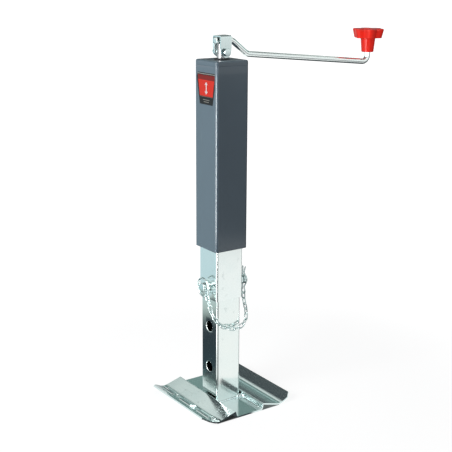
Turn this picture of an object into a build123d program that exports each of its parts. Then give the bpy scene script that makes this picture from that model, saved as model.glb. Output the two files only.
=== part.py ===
from build123d import *
from math import cos, radians, sin
import os

# A square, top-wind trailer jack with a pinned drop leg.
# Millimetres, +Z up, origin at the centre of the flat underside of the foot.
# X runs along the crank arm and the lock pin, Y along the ridges of the foot.

# Outer tube and cap, painted
housing_side = 76.2
housing_wall = 4.76
housing_corner = 6.0
housing_bottom = 331.0
housing_length = 366.0
cap_thickness = 9.5
cap_rim_round = 3.5

# Ram, the wider plated tube
ram_side = 63.5
ram_wall = 2.77
ram_corner = 4.0
ram_bottom = 225.0
ram_top = 668.0

# Drop leg, the narrower plated tube
leg_side = 57.15
leg_wall = 3.05
leg_corner = 4.0
leg_top = 380.0
leg_hole_pitch = 88.9
leg_holes_below = 2
leg_holes_above = 1

# Lock pin and the holes that it passes through
pin_radius = 9.525
pin_height = 251.1
pin_near_end = -48.0
pin_far_end = 61.0
pin_chamfer = 1.5
hole_radius = 11.1
seat_gap = 0.05

# Ring handle in the near end of the pin
ring_x = -43.5
ring_radius = 19.0
ring_wire = 2.0
ring_hole = 2.3

# Spring clip in the far end of the pin
clip_x = 55.0
clip_wire = 1.4
clip_hole = 1.7
clip_points = [
    (-9, 29),
    (-4.5, 16),
    (-16, 0),
    (-4.5, -16),
    (-9.5, -26),
    (-3, -33),
    (3, -26),
    (0, -17),
    (0, 29),
]
clip_bends = [5.0, 12.0, 6.0, 5.0, 4.0, 5.0, 8.0]

# Foot plate, pressed from sheet
sheet = 3.0
foot_half_depth = 104.0
channel_half = 30.5
crest_x = 33.8
crest_height = 15.2
fold_x = 78.0
lip_x = 108.3
lip_height = 17.5
fold_radius = 24.0
crest_radius = 2.4
corner_cut = 11.0
pad_count = 3
pad_pitch = 58.0
pad_length = 42.0
pad_run = 20.0
pad_rise = 3.2
rack_hole_radius = 3.2
rack_hole_x = -88.0
rack_hole_y = -93.0
weld_leg = 5.0

# Lifting screw and its bearing
screw_radius = 12.7
screw_bottom = 330.0
screw_tip_chamfer = 2.5
spindle_radius = 9.525
spindle_top = 736.5
running_gap = 0.05
bushing_radius = 12.7
seal_radius = 15.5
seal_height = 2.6
race_radius = 22.0
race_thickness = 3.2
roller_radius = 2.0
roller_length = 7.0
roller_circle = 16.5
roller_count = 12
roller_sides = 12
cage_thickness = 2.4
cage_width = 9.4
pocket_gap = 0.1
collar_radius = 20.0
collar_height = 14.0
cross_pin_radius = 3.0
stop_pin_reach = 18.0
stop_pin_rise = 8.0

# Nut in the head of the ram
nut_plate_thickness = 10.0
nut_flange_radius = 23.0
nut_flange_thickness = 6.0
nut_radius = 17.0
nut_length = 32.0

# Crank bracket and its bolt
bracket_gap = 21.0
bracket_sheet = 3.2
bracket_top = 752.3
bracket_left = -12.0
bracket_right = 13.5
bracket_fold = 4.0
bracket_foot_radius = 11.0
bracket_foot_x = 1.5
bolt_height = 721.0
bolt_radius = 4.7625
bolt_head_flats = 14.3
bolt_head_height = 6.2
nut_height = 8.3
bolt_tail = 5.5

# Crank rod
rod_radius = 6.0
rod_height = 743.0
rod_stub_end = -15.5
crank_reach = 379.0
rod_bends = [(21.8, rod_height), (59.2, 714.1), (crank_reach, 682.7)]
rod_bend_radii = [22.0, 22.0, 13.0]
rod_end = 744.5

# Knob
knob_bottom = 703.5
knob_top = 752.5
knob_head_height = 19.5
knob_stem_radius = 13.0
knob_neck_radius = 15.5
knob_lobes = 6
knob_lobe_radius = 9.5
knob_lobe_circle = 25.0
knob_core_radius = 27.0
knob_valley_radius = 6.0
knob_underside_share = 0.88
knob_top_share = 0.95
knob_rim_round = 2.0
knob_bore_gap = 0.1
push_nut_radius = 10.5
push_nut_floor = 740.0
cap_plug_thickness = 3.0

# Tether chain
link_wire = 1.2
link_width = 9.6
link_count = 17
link_play = 0.4
link_end_flats = 4
wire_sides = 6
# The chain's line, from the ring round the front corner of the leg to the clip
chain_route = [
    (-43.7, -11.4, 238.3),
    (-42.0, -21.5, 214.0),
    (-38.5, -33.5, 192.0),
    (-27.0, -39.5, 177.0),
    (-6.0, -38.5, 166.0),
    (15.0, -38.5, 162.0),
    (32.0, -37.5, 169.0),
    (45.0, -27.0, 187.0),
    (53.5, -8.0, 204.0),
    (55.2, -2.6, 221.9),
]

cap_bottom = housing_bottom + housing_length
cap_top = cap_bottom + cap_thickness
race_seat = cap_bottom - race_thickness
race_gap = 2 * (roller_radius + running_gap)
roller_height = race_seat - race_gap / 2
collar_top = race_seat - race_gap - race_thickness
collar_pin_height = collar_top - collar_height / 2
stop_pin_height = screw_bottom + stop_pin_rise
flange_outside = bracket_gap / 2 + bracket_sheet
spindle_bore = spindle_radius + running_gap
nut_seat = ram_top - 10.0
neck_height = knob_top - knob_head_height + 1


def upright(radius, bottom, top, x=0.0):
    """Round bar standing between two heights."""
    return Pos(x, 0, bottom) * extrude(Circle(radius), top - bottom)


def along_x(radius, start, end, height):
    """Round bar lying along X."""
    return Pos(start, 0, height) * Rot(0, 90, 0) * extrude(Circle(radius), end - start)


def along_y(radius, start, end, height, x=0.0):
    """Round bar lying along Y."""
    return Pos(x, end, height) * Rot(90, 0, 0) * extrude(Circle(radius), end - start)


def turned(outline, lift=0.0):
    """Solid of revolution about the jack's axis, from points of radius and height."""
    points = [(radius, height + lift) for radius, height in outline]
    return revolve(Plane.XZ * make_face(Polyline(*points, close=True)), axis=Axis.Z)


def ring(bore, outside, bottom, top):
    """Plain ring about the jack's axis."""
    return turned([(bore, bottom), (outside, bottom), (outside, top), (bore, top)])


def square_tube(side, wall, corner, bottom, length):
    """Square tube standing on the jack's axis."""
    inner = side - 2 * wall
    section = RectangleRounded(side, side, corner)
    section -= RectangleRounded(inner, inner, max(corner - wall, 1.0))
    return Pos(0, 0, bottom) * extrude(section, length)


def pin_hole(height):
    """A hole along X through both side walls of a tube."""
    return along_x(hole_radius, -ram_side, ram_side, height)


def outer_tube():
    return square_tube(housing_side, housing_wall, housing_corner, housing_bottom, housing_length)


def top_cap():
    """Thick plate with rounded rims and a bore for the bushing."""
    plate = extrude(RectangleRounded(housing_side, housing_side, housing_corner), cap_thickness)
    plate = fillet(plate.edges().group_by(Axis.Z)[-1], cap_rim_round)
    return Pos(0, 0, cap_bottom) * plate - upright(bushing_radius, cap_bottom - 1, cap_top + 1)


def spindle_bushing():
    return ring(spindle_bore, bushing_radius, cap_bottom, cap_top)


def spindle_seal():
    """Dust ring with a sloping lip, resting on the cap."""
    outline = [
        (spindle_bore, 0),
        (seal_radius, 0),
        (seal_radius, seal_height / 2),
        (spindle_bore + 1.6, seal_height),
        (spindle_bore, seal_height),
    ]
    return turned(outline, cap_top)


def upper_race():
    return ring(spindle_radius + 0.5, race_radius, race_seat, cap_bottom)


def lower_race():
    return ring(spindle_bore, race_radius, collar_top, collar_top + race_thickness)


def bearing_cage():
    """Flat ring with a pocket for each roller."""
    inner = roller_circle - cage_width / 2
    outer = roller_circle + cage_width / 2
    cage = ring(inner, outer, -cage_thickness / 2, cage_thickness / 2)
    pocket = Box(roller_length + 2 * pocket_gap, 2 * (roller_radius + pocket_gap), race_gap)
    for place in PolarLocations(roller_circle, roller_count):
        cage -= place * pocket
    return Pos(0, 0, roller_height) * cage


def bearing_rollers():
    """Rollers that lie like spokes between the races, each with a few flats in place of its round."""
    section = RegularPolygon(roller_radius, roller_sides)
    roller = Rot(0, 90, 0) * extrude(section, roller_length / 2, both=True)
    places = PolarLocations(roller_circle, roller_count)
    return Compound([Pos(0, 0, roller_height) * place * roller for place in places])


def lift_screw():
    """Screw with a plain spindle above its shoulder, drilled for its cross pins and the bolt."""
    outline = [
        (0, screw_bottom),
        (screw_radius - screw_tip_chamfer, screw_bottom),
        (screw_radius, screw_bottom + screw_tip_chamfer),
        (screw_radius, collar_top),
        (spindle_radius, collar_top),
        (spindle_radius, spindle_top - 1.5),
        (spindle_radius - 1.5, spindle_top),
        (0, spindle_top),
    ]
    body = turned(outline)
    body -= along_y(bolt_radius, -20, 20, bolt_height)
    body -= along_y(cross_pin_radius, -20, 20, collar_pin_height)
    body -= along_y(cross_pin_radius, -20, 20, stop_pin_height)
    return body


def thrust_collar():
    collar = ring(screw_radius, collar_radius, collar_top - collar_height, collar_top)
    return collar - along_y(cross_pin_radius, -30, 30, collar_pin_height)


def collar_pin():
    return along_y(cross_pin_radius, 1 - collar_radius, collar_radius - 1, collar_pin_height)


def screw_stop_pin():
    return along_y(cross_pin_radius, -stop_pin_reach, stop_pin_reach, stop_pin_height)


def crank_bracket():
    """Folded U bracket: tapering sides with round feet, joined by a web over the rod."""
    shoulder = bolt_height + 9
    right_tip = (bracket_foot_x + bracket_foot_radius, bolt_height)
    left_tip = (bracket_foot_x - bracket_foot_radius, bolt_height)
    roof = [
        left_tip,
        (bracket_left, shoulder),
        (bracket_left, bracket_top),
        (bracket_right, bracket_top),
        (bracket_right, shoulder),
        right_tip,
    ]
    outline = Polyline(*roof) + ThreePointArc(
        right_tip, (bracket_foot_x, bolt_height - bracket_foot_radius), left_tip
    )
    body = extrude(Plane.XZ * make_face(outline), flange_outside, both=True)
    body = fillet(body.edges().filter_by(Axis.X).group_by(Axis.Z)[-1], bracket_fold)
    channel = Box(80, bracket_gap, 80, align=(Align.CENTER, Align.CENTER, Align.MAX))
    channel = fillet(channel.edges().filter_by(Axis.X).group_by(Axis.Z)[-1], 1.0)
    body -= Pos(0, 0, bracket_top - bracket_sheet) * channel
    return body - along_y(bolt_radius, -30, 30, bolt_height)


def hexagon_bar(start, end):
    """Hexagonal bar lying along Y at the height of the bolt."""
    hexagon = RegularPolygon(bolt_head_flats / 2, 6, major_radius=False)
    return Pos(0, end, bolt_height) * Rot(90, 0, 0) * extrude(hexagon, end - start)


def bracket_bolt():
    """Hex bolt with its crowned head on the front side."""
    head_end = -flange_outside - bolt_head_height
    tail_end = flange_outside + nut_height + bolt_tail
    crown = along_y(bolt_head_flats / 2 + 1.2, head_end, -flange_outside, bolt_height)
    crown = chamfer(crown.edges().group_by(Axis.Y)[0], 1.6)
    shank = along_y(bolt_radius, -flange_outside, tail_end, bolt_height)
    shank = chamfer(shank.edges().group_by(Axis.Y)[-1], 1.0)
    return (hexagon_bar(head_end, -flange_outside) & crown) + shank


def bracket_nut():
    start = flange_outside
    end = start + nut_height
    crown = along_y(bolt_head_flats / 2 + 1.2, start, end, bolt_height)
    crown = chamfer(crown.edges().group_by(Axis.Y)[-1], 1.2)
    return (hexagon_bar(start, end) & crown) - along_y(bolt_radius, start - 1, end + 1, bolt_height)


def crank_rod():
    """Round rod: stub through the bracket, a steep drop, the long arm and the post for the knob."""
    points = [(rod_stub_end, rod_height), *rod_bends, (crank_reach, rod_end)]
    path = Plane.XZ * FilletPolyline(*points, radius=rod_bend_radii)
    return sweep(Plane(path @ 0, z_dir=path % 0) * Circle(rod_radius), path)


def rod_weld():
    """Two weld beads that fill the corners between the rod and the bracket."""
    web = bracket_top - bracket_sheet
    bead = Box(10.0, 6.5, 5.4, align=(Align.MAX, Align.MAX, Align.MAX))
    bead = Pos(bracket_right, bracket_gap / 2, web) * bead
    bead -= along_x(rod_radius, rod_stub_end, bracket_right + 5, rod_height)
    bead -= crank_bracket()
    return Compound([bead, mirror(bead, about=Plane.XZ)])


def knob_push_nut():
    """Push-on ring that grips the end of the rod."""
    bottom = push_nut_floor + knob_bore_gap
    cup = upright(push_nut_radius - 1.5, bottom, bottom + 3.0, crank_reach)
    return cup - upright(rod_radius, bottom - 1, bottom + 4, crank_reach)


def knob_outline(share):
    """Lobed outline of the knob's head, at a share of its full size."""
    outline = Circle(knob_core_radius * share)
    for place in PolarLocations(knob_lobe_circle * share, knob_lobes):
        outline += place * Circle(knob_lobe_radius * share)
    return fillet(outline.vertices(), knob_valley_radius * share)


def crank_knob():
    """Lobed head that tapers down to a round stem, bored for the rod and its push-on ring."""
    rim = knob_head_height - knob_rim_round
    widest = Pos(0, 0, rim) * knob_outline(1.0)
    top = Pos(0, 0, knob_head_height) * knob_outline(knob_top_share)
    head = loft([knob_outline(knob_underside_share), widest], ruled=True) + loft([widest, top], ruled=True)
    head = Pos(0, 0, knob_top - knob_head_height) * head
    stem_outline = [
        (0, knob_bottom),
        (knob_stem_radius, knob_bottom),
        (knob_neck_radius, neck_height),
        (0, neck_height),
    ]
    bore = rod_radius + knob_bore_gap
    bore_outline = [
        (0, knob_bottom - 1),
        (bore, knob_bottom - 1),
        (bore, push_nut_floor),
        (push_nut_radius, push_nut_floor),
        (push_nut_radius, knob_top + 1),
        (0, knob_top + 1),
    ]
    return Pos(crank_reach, 0, 0) * (head + turned(stem_outline) - turned(bore_outline))


def knob_cap():
    """Round plug that closes the top of the knob."""
    plug = upright(push_nut_radius, knob_top - cap_plug_thickness, knob_top + 0.6, crank_reach)
    return chamfer(plug.edges().group_by(Axis.Z)[-1], 0.8)


def ram_tube():
    tube = square_tube(ram_side, ram_wall, ram_corner, ram_bottom, ram_top - ram_bottom)
    return tube - pin_hole(pin_height - hole_radius + pin_radius + seat_gap)


def nut_plate():
    """Square plate that fills the ram under the flange of the nut."""
    inner = ram_side - 2 * ram_wall
    section = RectangleRounded(inner, inner, max(ram_corner - ram_wall, 1.0)) - Circle(nut_radius)
    return Pos(0, 0, nut_seat - nut_plate_thickness) * extrude(section, nut_plate_thickness)


def lift_nut():
    """Flanged nut, plain inside where the screw's thread runs."""
    bore = screw_radius + running_gap
    outline = [
        (bore, nut_flange_thickness),
        (nut_flange_radius, nut_flange_thickness),
        (nut_flange_radius, 0),
        (nut_radius, 0),
        (nut_radius, -nut_length),
        (bore, -nut_length),
    ]
    return turned(outline, nut_seat)


def drop_leg():
    """Plated tube with its row of pin holes, the third of which the pin holds."""
    tube = square_tube(leg_side, leg_wall, leg_corner, sheet, leg_top - sheet)
    pinned = pin_height + hole_radius - pin_radius - seat_gap
    for step in range(-leg_holes_below, leg_holes_above + 1):
        tube -= pin_hole(pinned + step * leg_hole_pitch)
    return tube


def foot_section():
    """Pressed section across the ridges, drawn from its upper line and closed a sheet below it."""
    half = [
        (channel_half, sheet),
        (crest_x, crest_height),
        (fold_x, sheet),
        (lip_x, lip_height),
    ]
    points = [(-x, z) for x, z in reversed(half)] + half
    bends = [fold_radius, crest_radius, crest_radius, crest_radius, crest_radius, fold_radius]
    upper = FilletPolyline(*points, radius=bends)
    return make_face(offset(upper, amount=sheet, side=Side.RIGHT, closed=True))


def lip_pad(side, place):
    """Raised pad across the fold of a lip, with bevelled edges."""
    slope = (lip_height - sheet) / (lip_x - fold_x)
    start = fold_x - 5.0
    end = start + pad_run
    outline = [
        (start, sheet),
        (start + 2.5, sheet + pad_rise),
        (end - 2.0, sheet + pad_rise + slope * (end - 2.0 - start - 2.5)),
        (end + 1.5, sheet + slope * (end + 1.5 - fold_x) - 1.0),
        (fold_x + 5.0, sheet + slope * 5.0 - 1.2),
    ]
    face = Plane.XZ * make_face(Polyline(*outline, close=True))
    pad = extrude(face, pad_length / 2, both=True)
    raised = pad.faces().sort_by(Axis.Z)[-1]
    pad = Pos(0, place, 0) * chamfer(raised.edges(), 1.2)
    return pad if side > 0 else mirror(pad, about=Plane.YZ)


def foot_plate():
    """Pressed plate: flat channel, two sharp ridges and two turned-up lips with raised pads."""
    plate = extrude(Plane.XZ * foot_section(), foot_half_depth, both=True)
    for side in (-1, 1):
        for step in range(pad_count):
            plate += lip_pad(side, (step - (pad_count - 1) / 2) * pad_pitch)
    corners = Rectangle(2 * lip_x + 4, 2 * foot_half_depth)
    corners = chamfer(corners.vertices(), corner_cut)
    plate &= extrude(corners, 4 * lip_height, both=True)
    return plate - Pos(rack_hole_x, rack_hole_y, 0) * Cylinder(rack_hole_radius, 4 * lip_height)


def foot_weld():
    """Fillet welds along the front and back of the leg's foot."""
    bead = make_face(Polyline((0, 0), (weld_leg, 0), (0, weld_leg), close=True))
    run = leg_side - 2 * leg_corner
    bead = extrude(Plane.YZ * bead, run / 2, both=True)
    bead = Pos(0, leg_side / 2, sheet) * bead
    return Compound([bead, mirror(bead, about=Plane.XZ)])


def lock_pin():
    """Round pin with a cross hole for the ring handle and one for the clip."""
    pin = along_x(pin_radius, pin_near_end, pin_far_end, pin_height)
    pin = chamfer(pin.edges().filter_by(GeomType.CIRCLE), pin_chamfer)
    pin -= along_y(ring_hole, -20, 20, pin_height, ring_x)
    return pin - upright(clip_hole, pin_height - 20, pin_height + 20, clip_x)


def pin_ring():
    """Round wire handle, with a bar through the near end of the pin."""
    wire = Pos(ring_radius, 0, 0) * RegularPolygon(ring_wire, wire_sides)
    hoop = revolve(Plane.XZ * wire, axis=Axis.Z)
    hoop = Pos(ring_x, 0, pin_height) * Rot(0, 90, 0) * hoop
    return hoop + along_y(ring_wire, -ring_radius, ring_radius, pin_height, ring_x)


def retaining_clip():
    """Spring wire clip: a straight leg through the pin and a bowed leg round it."""
    path = FilletPolyline(*clip_points, radius=clip_bends)
    path = Plane(origin=(clip_x, 0, pin_height), x_dir=(0, 1, 0), z_dir=(1, 0, 0)) * path
    return sweep(Plane(path @ 0, z_dir=path % 0) * RegularPolygon(clip_wire, wire_sides), path)


def chain_link(length):
    """One long link about the origin, lying along X in the XY plane, its round ends in short flats."""
    middle = link_width / 2 - link_wire
    turn = [radians(90 - 180 * step / link_end_flats) for step in range(link_end_flats + 1)]
    end = [(length / 2 + middle * cos(a), middle * sin(a)) for a in turn]
    path = Polyline(*end, *[(-x, -y) for x, y in end], close=True)
    start = Plane((0, middle, 0), z_dir=(1, 0, 0))
    return sweep(start * RegularPolygon(link_wire, wire_sides), path, transition=Transition.RIGHT)


def tether_chain():
    """Links hung along the route, each turned a quarter from the last."""
    route = Spline(*chain_route)
    joints = [route @ (step / link_count) for step in range(link_count + 1)]
    half_width = link_width / 2 - link_wire
    chord = sum((joints[i + 1] - joints[i]).length for i in range(link_count)) / link_count
    straight = chord + 2 * (link_wire + link_play) - 2 * half_width
    link = chain_link(straight)
    across = Vector(-1, 0, 0)
    links = []
    for start, end in zip(joints, joints[1:]):
        along = (end - start).normalized()
        across = (across - along * across.dot(along)).normalized()
        place = Plane(origin=(start + end) / 2, x_dir=along, z_dir=across.cross(along) * -1)
        links.append(place.location * link)
        across = along.cross(across)
    return Compound(links)


nodes = [
    outer_tube,
    top_cap,
    spindle_bushing,
    spindle_seal,
    upper_race,
    lift_screw,
    lower_race,
    thrust_collar,
    collar_pin,
    screw_stop_pin,
    crank_bracket,
    bracket_bolt,
    bracket_nut,
    crank_rod,
    rod_weld,
    knob_push_nut,
    bearing_cage,
    bearing_rollers,
    crank_knob,
    knob_cap,
    ram_tube,
    nut_plate,
    lift_nut,
    drop_leg,
    foot_plate,
    foot_weld,
    lock_pin,
    pin_ring,
    retaining_clip,
    tether_chain,
]

os.makedirs("parts", exist_ok=True)
for make in nodes:
    export_step(make(), f"parts/{make.__name__}.step")
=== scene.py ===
"""Dresses a square trailer jack: painted tube, zinc-plated ram and leg, pressed foot, crank and knob.

Every length is in metres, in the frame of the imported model: +Z up, +X along the crank arm, and the
origin under the middle of the foot.
"""

import logging
import math
from collections.abc import Callable, Sequence
from dataclasses import dataclass
from enum import Enum

import bmesh
import bpy
import numpy as np
from mathutils import Matrix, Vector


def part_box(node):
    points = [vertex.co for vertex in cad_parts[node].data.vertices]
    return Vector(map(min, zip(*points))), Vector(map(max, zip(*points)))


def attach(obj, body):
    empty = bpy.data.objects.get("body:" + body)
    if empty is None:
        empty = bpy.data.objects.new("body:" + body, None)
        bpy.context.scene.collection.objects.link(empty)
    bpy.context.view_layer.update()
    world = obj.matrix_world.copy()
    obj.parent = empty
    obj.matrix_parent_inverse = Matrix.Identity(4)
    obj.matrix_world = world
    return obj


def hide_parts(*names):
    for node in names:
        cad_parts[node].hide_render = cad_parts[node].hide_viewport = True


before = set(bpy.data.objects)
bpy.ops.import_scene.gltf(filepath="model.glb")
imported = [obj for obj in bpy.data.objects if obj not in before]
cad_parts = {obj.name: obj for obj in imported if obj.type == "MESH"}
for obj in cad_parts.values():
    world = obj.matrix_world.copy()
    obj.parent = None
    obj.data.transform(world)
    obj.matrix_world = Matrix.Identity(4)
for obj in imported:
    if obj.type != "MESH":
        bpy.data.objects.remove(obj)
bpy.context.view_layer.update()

LOG = logging.getLogger("trailer_jack")
MM = 0.001
TAU = 2 * math.pi
SMOOTH_ANGLE = 34.0
MERGE = 0.002 * MM
SLIVER = 0.001 * MM
BEVEL_ANGLE = 60.0
UP = (0, 0, 1)
ACROSS = (0, 1, 0)
ALONG_X = (1, 0, 0)

Finish = bpy.types.Material
Piece = bpy.types.Object
Pair = tuple[float, float]
Triple = tuple[float, float, float]


class Body(Enum):
    """Rigid group that a piece moves with."""

    HOUSING = "housing"
    SCREW = "screw"
    KNOB = "knob"
    RAM = "ram"


class Target(Enum):
    """What a node tree belongs to, with the type of its output node."""

    MATERIAL = "ShaderNodeOutputMaterial"
    WORLD = "ShaderNodeOutputWorld"


class Wrap(Enum):
    """How a grid closes: not at all, round its columns, or round its rows as well."""

    SHEET = (False, False)
    ROUND = (False, True)
    RING = (True, True)


def joined(operation: str, swapped: bool = False) -> Callable[..., "Wire"]:
    """Make an operator of two values from one Math node.

    Args:
        operation: The node's operation.
        swapped: Whether the other value comes first.

    Returns:
        The method.
    """
    def method(self: "Wire", other: "Wire | float" = 0.0) -> "Wire":
        """Join this value and the other one."""
        first, second = (other, self) if swapped else (self, other)
        return self.graph.node("ShaderNodeMath", {"operation": operation}, {0: first, 1: second})

    return method


class Wire:
    """A number that a shader works out, used like a number in an expression.

    Args:
        graph: The node tree it belongs to.
        socket: The output socket that carries it.
    """

    def __init__(self, graph: "Graph", socket: bpy.types.NodeSocket) -> None:
        """Keep the tree and the socket."""
        self.graph = graph
        self.socket = socket

    __add__ = __radd__ = joined("ADD")
    __mul__ = __rmul__ = joined("MULTIPLY")
    __sub__ = joined("SUBTRACT")
    __rsub__ = joined("SUBTRACT", swapped=True)
    __truediv__ = joined("DIVIDE")
    __abs__ = joined("ABSOLUTE")
    arctangent = joined("ARCTAN2")
    modulo = joined("FLOORED_MODULO")
    larger = joined("MAXIMUM")

    def bearing(self, across: "Wire", start: float = 0.0) -> "Wire":
        """Angle of this value as Y and another as X, plus a start, in degrees from 0 to 360."""
        return (self.arctangent(across) * (360 / TAU) + start).modulo(360.0)

    def band(self, middle: float, half: float, soft: float) -> "Wire":
        """1 within half a width of the middle, falling smoothly to 0 over the soft edge."""
        return abs(self - middle).ramp(half + soft, half)

    def ramp(self, low: float, high: float) -> "Wire":
        """Go smoothly from 0 at low to 1 at high, which may lie below low."""
        sockets = {"Value": self, "From Min": low, "From Max": high}
        return self.graph.node("ShaderNodeMapRange", {"interpolation_type": "SMOOTHSTEP"}, sockets)


class Graph:
    """Builder of the node tree of a material or of the world.

    Args:
        name: Name of the new material or world.
        kind: What to make.
    """

    def __init__(self, name: str, kind: Target = Target.MATERIAL) -> None:
        """Make the owner with an empty tree."""
        self.kind = kind
        made = bpy.data.worlds if kind is Target.WORLD else bpy.data.materials
        self.owner = made.new(name)
        self.owner.use_nodes = True
        self.tree = self.owner.node_tree
        self.tree.nodes.clear()

    def node(self, kind: str, settings: dict, sockets: dict, output: int | str | None = 0) -> Wire | None:
        """Add one node.

        Args:
            kind: Blender's type name of the node.
            settings: Its settings, with a ramp's stops under the key "stops".
            sockets: Input sockets by name or number, each a value or a Wire.
            output: The output that is wanted, or None for a node that has none.

        Returns:
            The wanted output.
        """
        made = self.tree.nodes.new(kind)
        for key, value in settings.items():
            if key == "stops":
                self._stops(made, value)
            else:
                setattr(made, key, value)
        for key, value in sockets.items():
            if isinstance(value, Wire):
                self.tree.links.new(value.socket, made.inputs[key])
            else:
                made.inputs[key].default_value = value
        return None if output is None else Wire(self, made.outputs[output])

    @staticmethod
    def _stops(made: bpy.types.Node, stops: Sequence[tuple[float, Triple]]) -> None:
        """Put the stops of a colour ramp in place.

        Args:
            made: The ramp's node.
            stops: Place and colour of each stop, in order.
        """
        elements = made.color_ramp.elements
        while len(elements) > 1:
            elements.remove(elements[-1])
        elements[0].position = stops[0][0]
        elements[0].color = (*stops[0][1], 1.0)
        for place, color in stops[1:]:
            elements.new(place).color = (*color, 1.0)

    def place(self) -> Wire:
        """Object coordinates, or the direction that a ray of the world comes from."""
        output = "Generated" if self.kind is Target.WORLD else "Object"
        return self.node("ShaderNodeTexCoord", {}, {}, output)

    def axes(self) -> tuple[Wire, ...]:
        """The three object coordinates as numbers."""
        split = self.node("ShaderNodeSeparateXYZ", {}, {0: self.place()})
        return tuple(Wire(self, socket) for socket in split.socket.node.outputs)

    def ray(self, *kinds: str) -> Wire:
        """Tell kinds of ray apart.

        Args:
            kinds: Names of the Light Path node's outputs.

        Returns:
            1 where the ray is one of these kinds.
        """
        path = self.node("ShaderNodeLightPath", {}, {})
        first, *others = (Wire(self, path.socket.node.outputs[kind]) for kind in kinds)
        for other in others:
            first = first.larger(other)
        return first

    def glow(self, color: Wire | Triple, strength: Wire | float) -> Wire:
        """Light of a colour and strength."""
        kind = "ShaderNodeBackground" if self.kind is Target.WORLD else "ShaderNodeEmission"
        return self.node(kind, {}, {"Color": self.rgba(color), "Strength": strength})

    def blend(self, factor: Wire | float, first: Wire, second: Wire) -> Wire:
        """Blend two shaders."""
        return self.node("ShaderNodeMixShader", {}, {0: factor, 1: first, 2: second})

    def noise(self, scale: float, detail: float, stretch: Triple = (1, 1, 1)) -> Wire:
        """Noise in object coordinates.

        Args:
            scale: Cells in a metre.
            detail: Octaves.
            stretch: Factors on the three axes.

        Returns:
            The noise as a number from 0 to 1.
        """
        where = self.node("ShaderNodeVectorMath", {"operation": "MULTIPLY"}, {0: self.place(), 1: stretch})
        sockets = {"Vector": where, "Scale": scale, "Detail": detail}
        return self.node("ShaderNodeTexNoise", {}, sockets, "Fac")

    @staticmethod
    def rgba(color: Wire | Triple) -> Wire | tuple[float, ...]:
        """A colour with its fourth value, or a Wire as it is."""
        return color if isinstance(color, Wire) else (*color, 1.0)

    def mix(self, factor: Wire | float, first: Wire | Triple, second: Wire | Triple) -> Wire:
        """Blend two colours: the factor is the second one's share."""
        sockets = {0: factor, 6: self.rgba(first), 7: self.rgba(second)}
        return self.node("ShaderNodeMix", {"data_type": "RGBA"}, sockets, 2)

    def bump(self, height: Wire, depth: float) -> Wire:
        """Relief from a height of 0 to 1, so many metres deep."""
        return self.node("ShaderNodeBump", {}, {"Height": height, "Distance": depth, "Strength": 1.0})

    def surface(self, sockets: dict) -> Finish:
        """Close the tree with one Principled shader that has these inputs."""
        return self.output(self.node("ShaderNodeBsdfPrincipled", {}, sockets))

    def output(self, shader: Wire) -> Finish | bpy.types.World:
        """Close the tree with a shader of any kind."""
        self.node(self.kind.value, {}, {"Surface": shader}, None)
        return self.owner


def scaled(color: Triple, factor: float | Triple) -> Triple:
    """Colour times a factor, or times one factor for each of its values."""
    return tuple(np.multiply(color, factor).tolist())


@dataclass(frozen=True)
class Paint:
    """Smooth powder coat with a faint orange peel and a few dusty marks."""

    name: str = "blue_grey_powder_coat"
    color: Triple = (0.105, 0.150, 0.190)
    dust: Triple = (0.30, 0.34, 0.37)
    roughness: float = 0.36
    peel_depth: float = 0.02 * MM

    def material(self) -> Finish:
        """Build the powder coat.

        Returns:
            The material.
        """
        g = Graph(self.name)
        cloud = g.noise(14.0, 4.0)
        peel = g.noise(900.0, 2.0)
        scuffs = g.noise(60.0, 5.0, (1, 1, 0.25)).ramp(0.66, 0.78)
        tone = g.mix(cloud, self.color, scaled(self.color, 1.12))
        return g.surface({
            "Base Color": g.mix(scuffs * 0.12, tone, self.dust),
            "Roughness": self.roughness + 0.05 * cloud + 0.12 * scuffs,
            "Specular IOR Level": 0.32,
            "Coat Weight": 0.8,
            "Coat Roughness": 0.08,
            "Normal": g.bump(peel, self.peel_depth),
        })


@dataclass(frozen=True)
class Zinc:
    """Bright zinc plating: cool metal with clouds, drawing lines and small stains, and painted shade inside a
    tube where that is asked for.

    Args:
        name: Material's name.
        color: Metal's colour.
        roughness: Middle roughness.
        lines: Factors that stretch the drawing lines along the piece.
        cloudiness: How far the clouds change the roughness.
        inner_shade_half: Half width of a tube's inside, which is coloured with painted shade, or 0.
        cool: Factors on the colour in the clouds.
        stain: Colour of the stains.
        painted_inner_shade: Colour of the painted shade inside a tube.
        edge: Softness of the painted shade's edge.
        line_depth: Depth of the drawing lines.
    """

    name: str
    color: Triple = (0.92, 0.935, 0.915)
    roughness: float = 0.13
    lines: Triple = (1, 1, 0.02)
    cloudiness: float = 0.10
    inner_shade_half: float = 0.0
    cool: Triple = (0.90, 0.98, 1.0)
    stain: Triple = (0.48, 0.56, 0.57)
    painted_inner_shade: Triple = (0.05, 0.06, 0.06)
    edge: float = 0.3 * MM
    line_depth: float = 0.006 * MM

    def material(self) -> Finish:
        """Build the plating.

        Returns:
            The material.
        """
        g = Graph(self.name)
        cloud = g.noise(22.0, 5.0)
        drawn = g.noise(700.0, 3.0, self.lines)
        stain = g.noise(75.0, 6.0).ramp(0.60, 0.76)
        tone = g.mix(cloud, self.color, scaled(self.color, self.cool))
        tone = g.mix(stain * 0.25, tone, self.stain)
        # Painted shade: inside the tube the plating's colour turns near black, as if shade falls there.
        if self.inner_shade_half:
            x, y, _ = g.axes()
            inside = (self.inner_shade_half - abs(x)).ramp(0.0, self.edge) * (self.inner_shade_half - abs(y)).ramp(0.0, self.edge)
            tone = g.mix(inside, tone, self.painted_inner_shade)
        return g.surface({
            "Base Color": tone,
            "Metallic": 1.0,
            "Roughness": self.roughness + self.cloudiness * (cloud - 0.4) + 0.10 * stain + 0.05 * drawn,
            "Normal": g.bump(drawn, self.line_depth),
        })


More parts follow.
